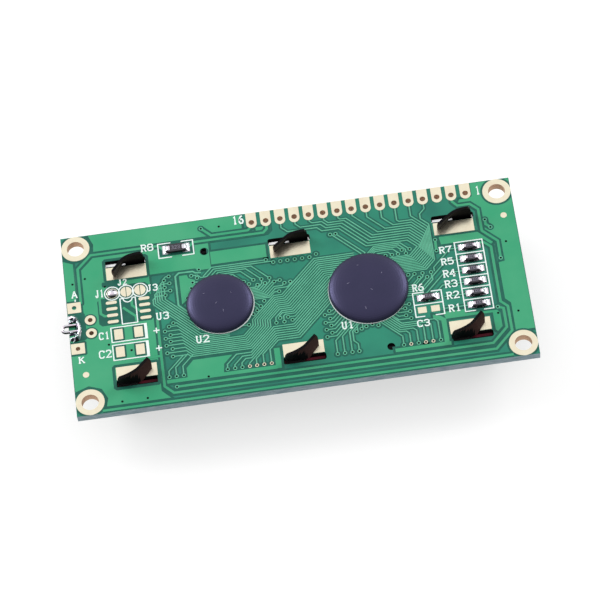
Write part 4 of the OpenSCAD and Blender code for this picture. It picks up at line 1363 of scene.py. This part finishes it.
# %% Solder material
def solder_finish(name, tone_a, tone_b, dark):
    """Bright tin-lead that mirrors pale light above, with a painted dark shade on its front slopes."""
    material, tree, shader, where = start_finish(name)
    tone = place_group(tree, drift, where, Scale=1500.0, Tone_A=tone_a, Tone_B=tone_b)
    # Faces turned towards the front take the dark tone: painted shade.
    front_shade_mask = tree.nodes.new("ShaderNodeMapRange")
    front_shade_mask.inputs["From Min"].default_value = -0.28
    front_shade_mask.inputs["From Max"].default_value = -0.62
    tree.links.new(facing(tree)["Y"], front_shade_mask.inputs["Value"])
    colour = mix_colour(tree, front_shade_mask.outputs["Result"], tone.outputs["Colour"], dark)
    tree.links.new(colour, shader.inputs["Base Color"])
    shader.inputs["Metallic"].default_value = 1.0
    raise_by(tree, shader, roughen(tree, shader, where, 3800.0, 0.16, 0.36), 0.35, 0.08 * MM)
    return material


joint_solder = solder_finish("joint_solder", tint(250, 232, 246), tint(222, 226, 232),
                             tint(40, 52, 46))
# The edge solder drifts from pinkish white into teal; the teal is a painted reflection of the green
# board.
edge_flow = solder_finish("edge_flow", tint(250, 226, 244), tint(206, 236, 234),
                          tint(52, 50, 62))
dress(joint_solder, *sorted(waiting))
print("solder on", sorted(waiting))

# %% [markdown]
# ### The joints
#
# Each chip is a row of its place and five lengths: half the coated part, half the chip, how far the
# pad reaches, half the chip's width and the joint's height.  A dark patch on the resist round each
# chip, reaching furthest in front of it, is its painted shadow.

# %% Joints of the resistors
SMALL = [(31.12, y) for y in (5.03, 2.66, 0.31, -2.02, -4.35, -6.67)] + [(22.62, -4.02)]
CHIPS = [(x, y, 0.60, 1.0, 1.95, 0.60, 0.53) for x, y in SMALL]
CHIPS += [(-19.85, 12.75, 1.08, 1.6, 2.42, 0.76, 0.58)]
joints, shadow_patches = Sheet("ring"), Sheet("gap")
for number, (x, y, coat, chip_end, pad_end, half, tall) in enumerate(CHIPS):
    for side in (-1, 1):
        u, v = np.meshgrid(np.linspace(0, 1, 18), np.linspace(-1, 1, 13), indexing="ij")
        out = coat + u * (pad_end - coat)
        past = np.clip((out - chip_end) / (pad_end - chip_end), 0, 1)
        wide = half * (0.80 + 0.08 * np.cos(5 * out) + 0.34 * past ** 2)
        high = 0.08 + (tall - 0.04) * (1 - past) ** 1.7 + 0.05 * np.exp(-((past - 0.25) / 0.2) ** 2)
        high = high * (1 - 0.35 * np.abs(v) ** 4) - 0.10 * (1 - v ** 2) * past * (1 - past) * 4
        across = v * wide * (1 + 0.06 * ripple(out, v, 0.9, number + side))
        high += 0.022 * ripple(out, across, 0.55, number * 2.1 + side)
        gx, gy, gz = x + side * out, y + across, TOP + np.maximum(high, 0.06)
        if side < 0:
            gx, gy, gz = gx[::-1], gy[::-1], gz[::-1]
        mound(joints, gx, gy, gz - TOP, 0.0)
    # The chip's painted shadow: a dark patch round it, reaching furthest towards the front.
    shadow_patches.slab([(x - pad_end - 0.08, y - 0.55 * half / 0.6), (x - 0.8 * chip_end, y - 1.5 * half),
                 (x + 0.8 * chip_end, y - 1.5 * half), (x + pad_end + 0.08, y - 0.55 * half / 0.6),
                 (x + pad_end + 0.08, y + 1.0 * half), (x - pad_end - 0.08, y + 1.0 * half)], 0.12)
joint_piece = smooth(joints.make("resistor_joints", joint_solder))
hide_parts("resistor_solder", "resistor_caps", "long_resistor_solder",
            "long_resistor_caps")
shadow_patches.make("painted_shadow_under_chips", chip_shadow_paint, halo_resist)

# %% [markdown]
# ### Value marks
#
# A resistor carries its value as a three-figure code in grey on its dark coat, in the same letters as
# the print but far smaller.

# %% Value marks on the chips
CODES = ("812", "323", "232", "223", "323", "232", "214", "323")
marks = Sheet("print")
for code, (x, y, coat, chip_end, pad_end, half, tall) in zip(CODES, CHIPS):
    node = "long_resistor_coat" if coat > 1.0 else "resistor_coats"
    marks.lift = box_mm(node)[1][2] - TOP + 0.004
    tall_mark = half * 0.85
    for place_index, letter in enumerate(code):
        left = x + (place_index - 1.5) * coat * 0.52 + 0.03
        for stroke in GLYPHS[letter]:
            marks.strip([(left + a / 4 * coat * 0.36, y + (b / 6 - 0.45) * tall_mark)
                         for a, b in stroke], 0.06, 0.004)
marks.make("chip_marks", glaze_mark, glaze_mark)

# %% [markdown]
# ### Solder along the edge
#
# The wire at the left edge is drowned in two lumps of solder, joined on the board's side by a smooth
# ridge, with a bare gap between them: a letter E seen from above.

# %% Edge solder
gx, gy = np.meshgrid(np.linspace(-40.0, -37.6, 60), np.linspace(-3.25, 2.45, 120), indexing="ij")


def lump(x, y, wide, long, tall):
    """One rounded lump: a bell over its place."""
    return tall * np.exp(-((gx - x) / wide) ** 2 - ((gy - y) / long) ** 2)


ridge_x = -38.2 - 0.13 * (gy + 0.8) ** 2
ridge = 0.62 * np.exp(-((gx - ridge_x) / 0.34) ** 2) * (1 - np.clip(np.abs(gy + 0.95) - 1.9, 0, 1))
field = (lump(-39.35, 1.45, 0.72, 0.60, 0.72) + lump(-39.7, 0.55, 0.5, 0.3, 0.55)
         + lump(-38.75, 1.0, 0.34, 0.42, 0.35) + lump(-39.5, -1.55, 0.7, 0.42, 0.75)
         + lump(-39.45, -2.65, 0.75, 0.38, 0.62) + lump(-38.7, -2.5, 0.5, 0.5, 0.35) + ridge
         - lump(-39.15, 0.42, 0.34, 0.14, 0.5) - lump(-39.2, -2.12, 0.5, 0.15, 0.55))
field += 0.05 * ripple(gx, gy, 0.6, 1.7) - 0.15
edge = np.clip((gx + 40.0) / 0.25, 0, 1)
field = np.maximum(field * (0.35 + 0.65 * edge), -0.03)
flow = Sheet("ring")
mound(flow, gx, gy, field, -0.04)
flow_piece = smooth(flow.make("edge_solder_flow", edge_flow))
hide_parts("edge_solder", "edge_land")

# %% [markdown]
# ### Dust
#
# A few pale hairs lie on the resin.  Each needs the height of the cap's skin under it, which follows
# from the cap's own profile.

# %% Dust on the caps
def cap_height(node, x, y):
    """Height of a cap's skin above the board: its half-profile is r cos(t)^0.62, h sin(t)^0.8."""
    low, high = box_mm(node)
    centre, radius = (low + high) / 2, (high[0] - low[0]) / 2
    share_out = math.dist((x, y), centre[:2]) / radius
    return (high[2] - TOP) * math.sin(math.acos(share_out ** (1 / 0.62))) ** 0.8


hairs = Sheet("print")
for node, x, y, turn, long in (
        ("controller_cover", 9.2, 0.2, 0.4, 0.5), ("controller_cover", 11.55, -5.0, 1.9, 0.9),
        ("controller_cover", 13.1, -1.7, 2.3, 0.4), ("controller_cover", 11.3, 3.6, 0.1, 0.3),
        ("controller_cover", 15.2, 1.4, 1.1, 0.25), ("driver_cover", -15.9, 2.1, 0.2, 0.3),
        ("driver_cover", -14.0, -0.1, 0.7, 0.45), ("driver_cover", -12.9, -1.8, 1.5, 0.5),
        ("driver_cover", -11.2, 1.6, 2.6, 0.25)):
    hairs.lift = cap_height(node, x, y) + 0.012
    step = np.array([math.cos(turn), math.sin(turn)]) * long / 2
    at = np.array([x, y])
    hairs.strip([at - step, at + np.array([step[1], -step[0]]) * 0.12, at + step], 0.05, 0.004)
for corners in hairs.corners:
    corners[:, 2] = np.where(corners[:, 2] < 0, corners[:, 2].max() - 0.06, corners[:, 2])
dust_tone = finish("dust", tint(150, 146, 172), tint(128, 124, 150), 0.4, (0.6, 0.8), grain_mm=0.1)
hairs.make("dust_hairs", dust_tone, dust_tone)
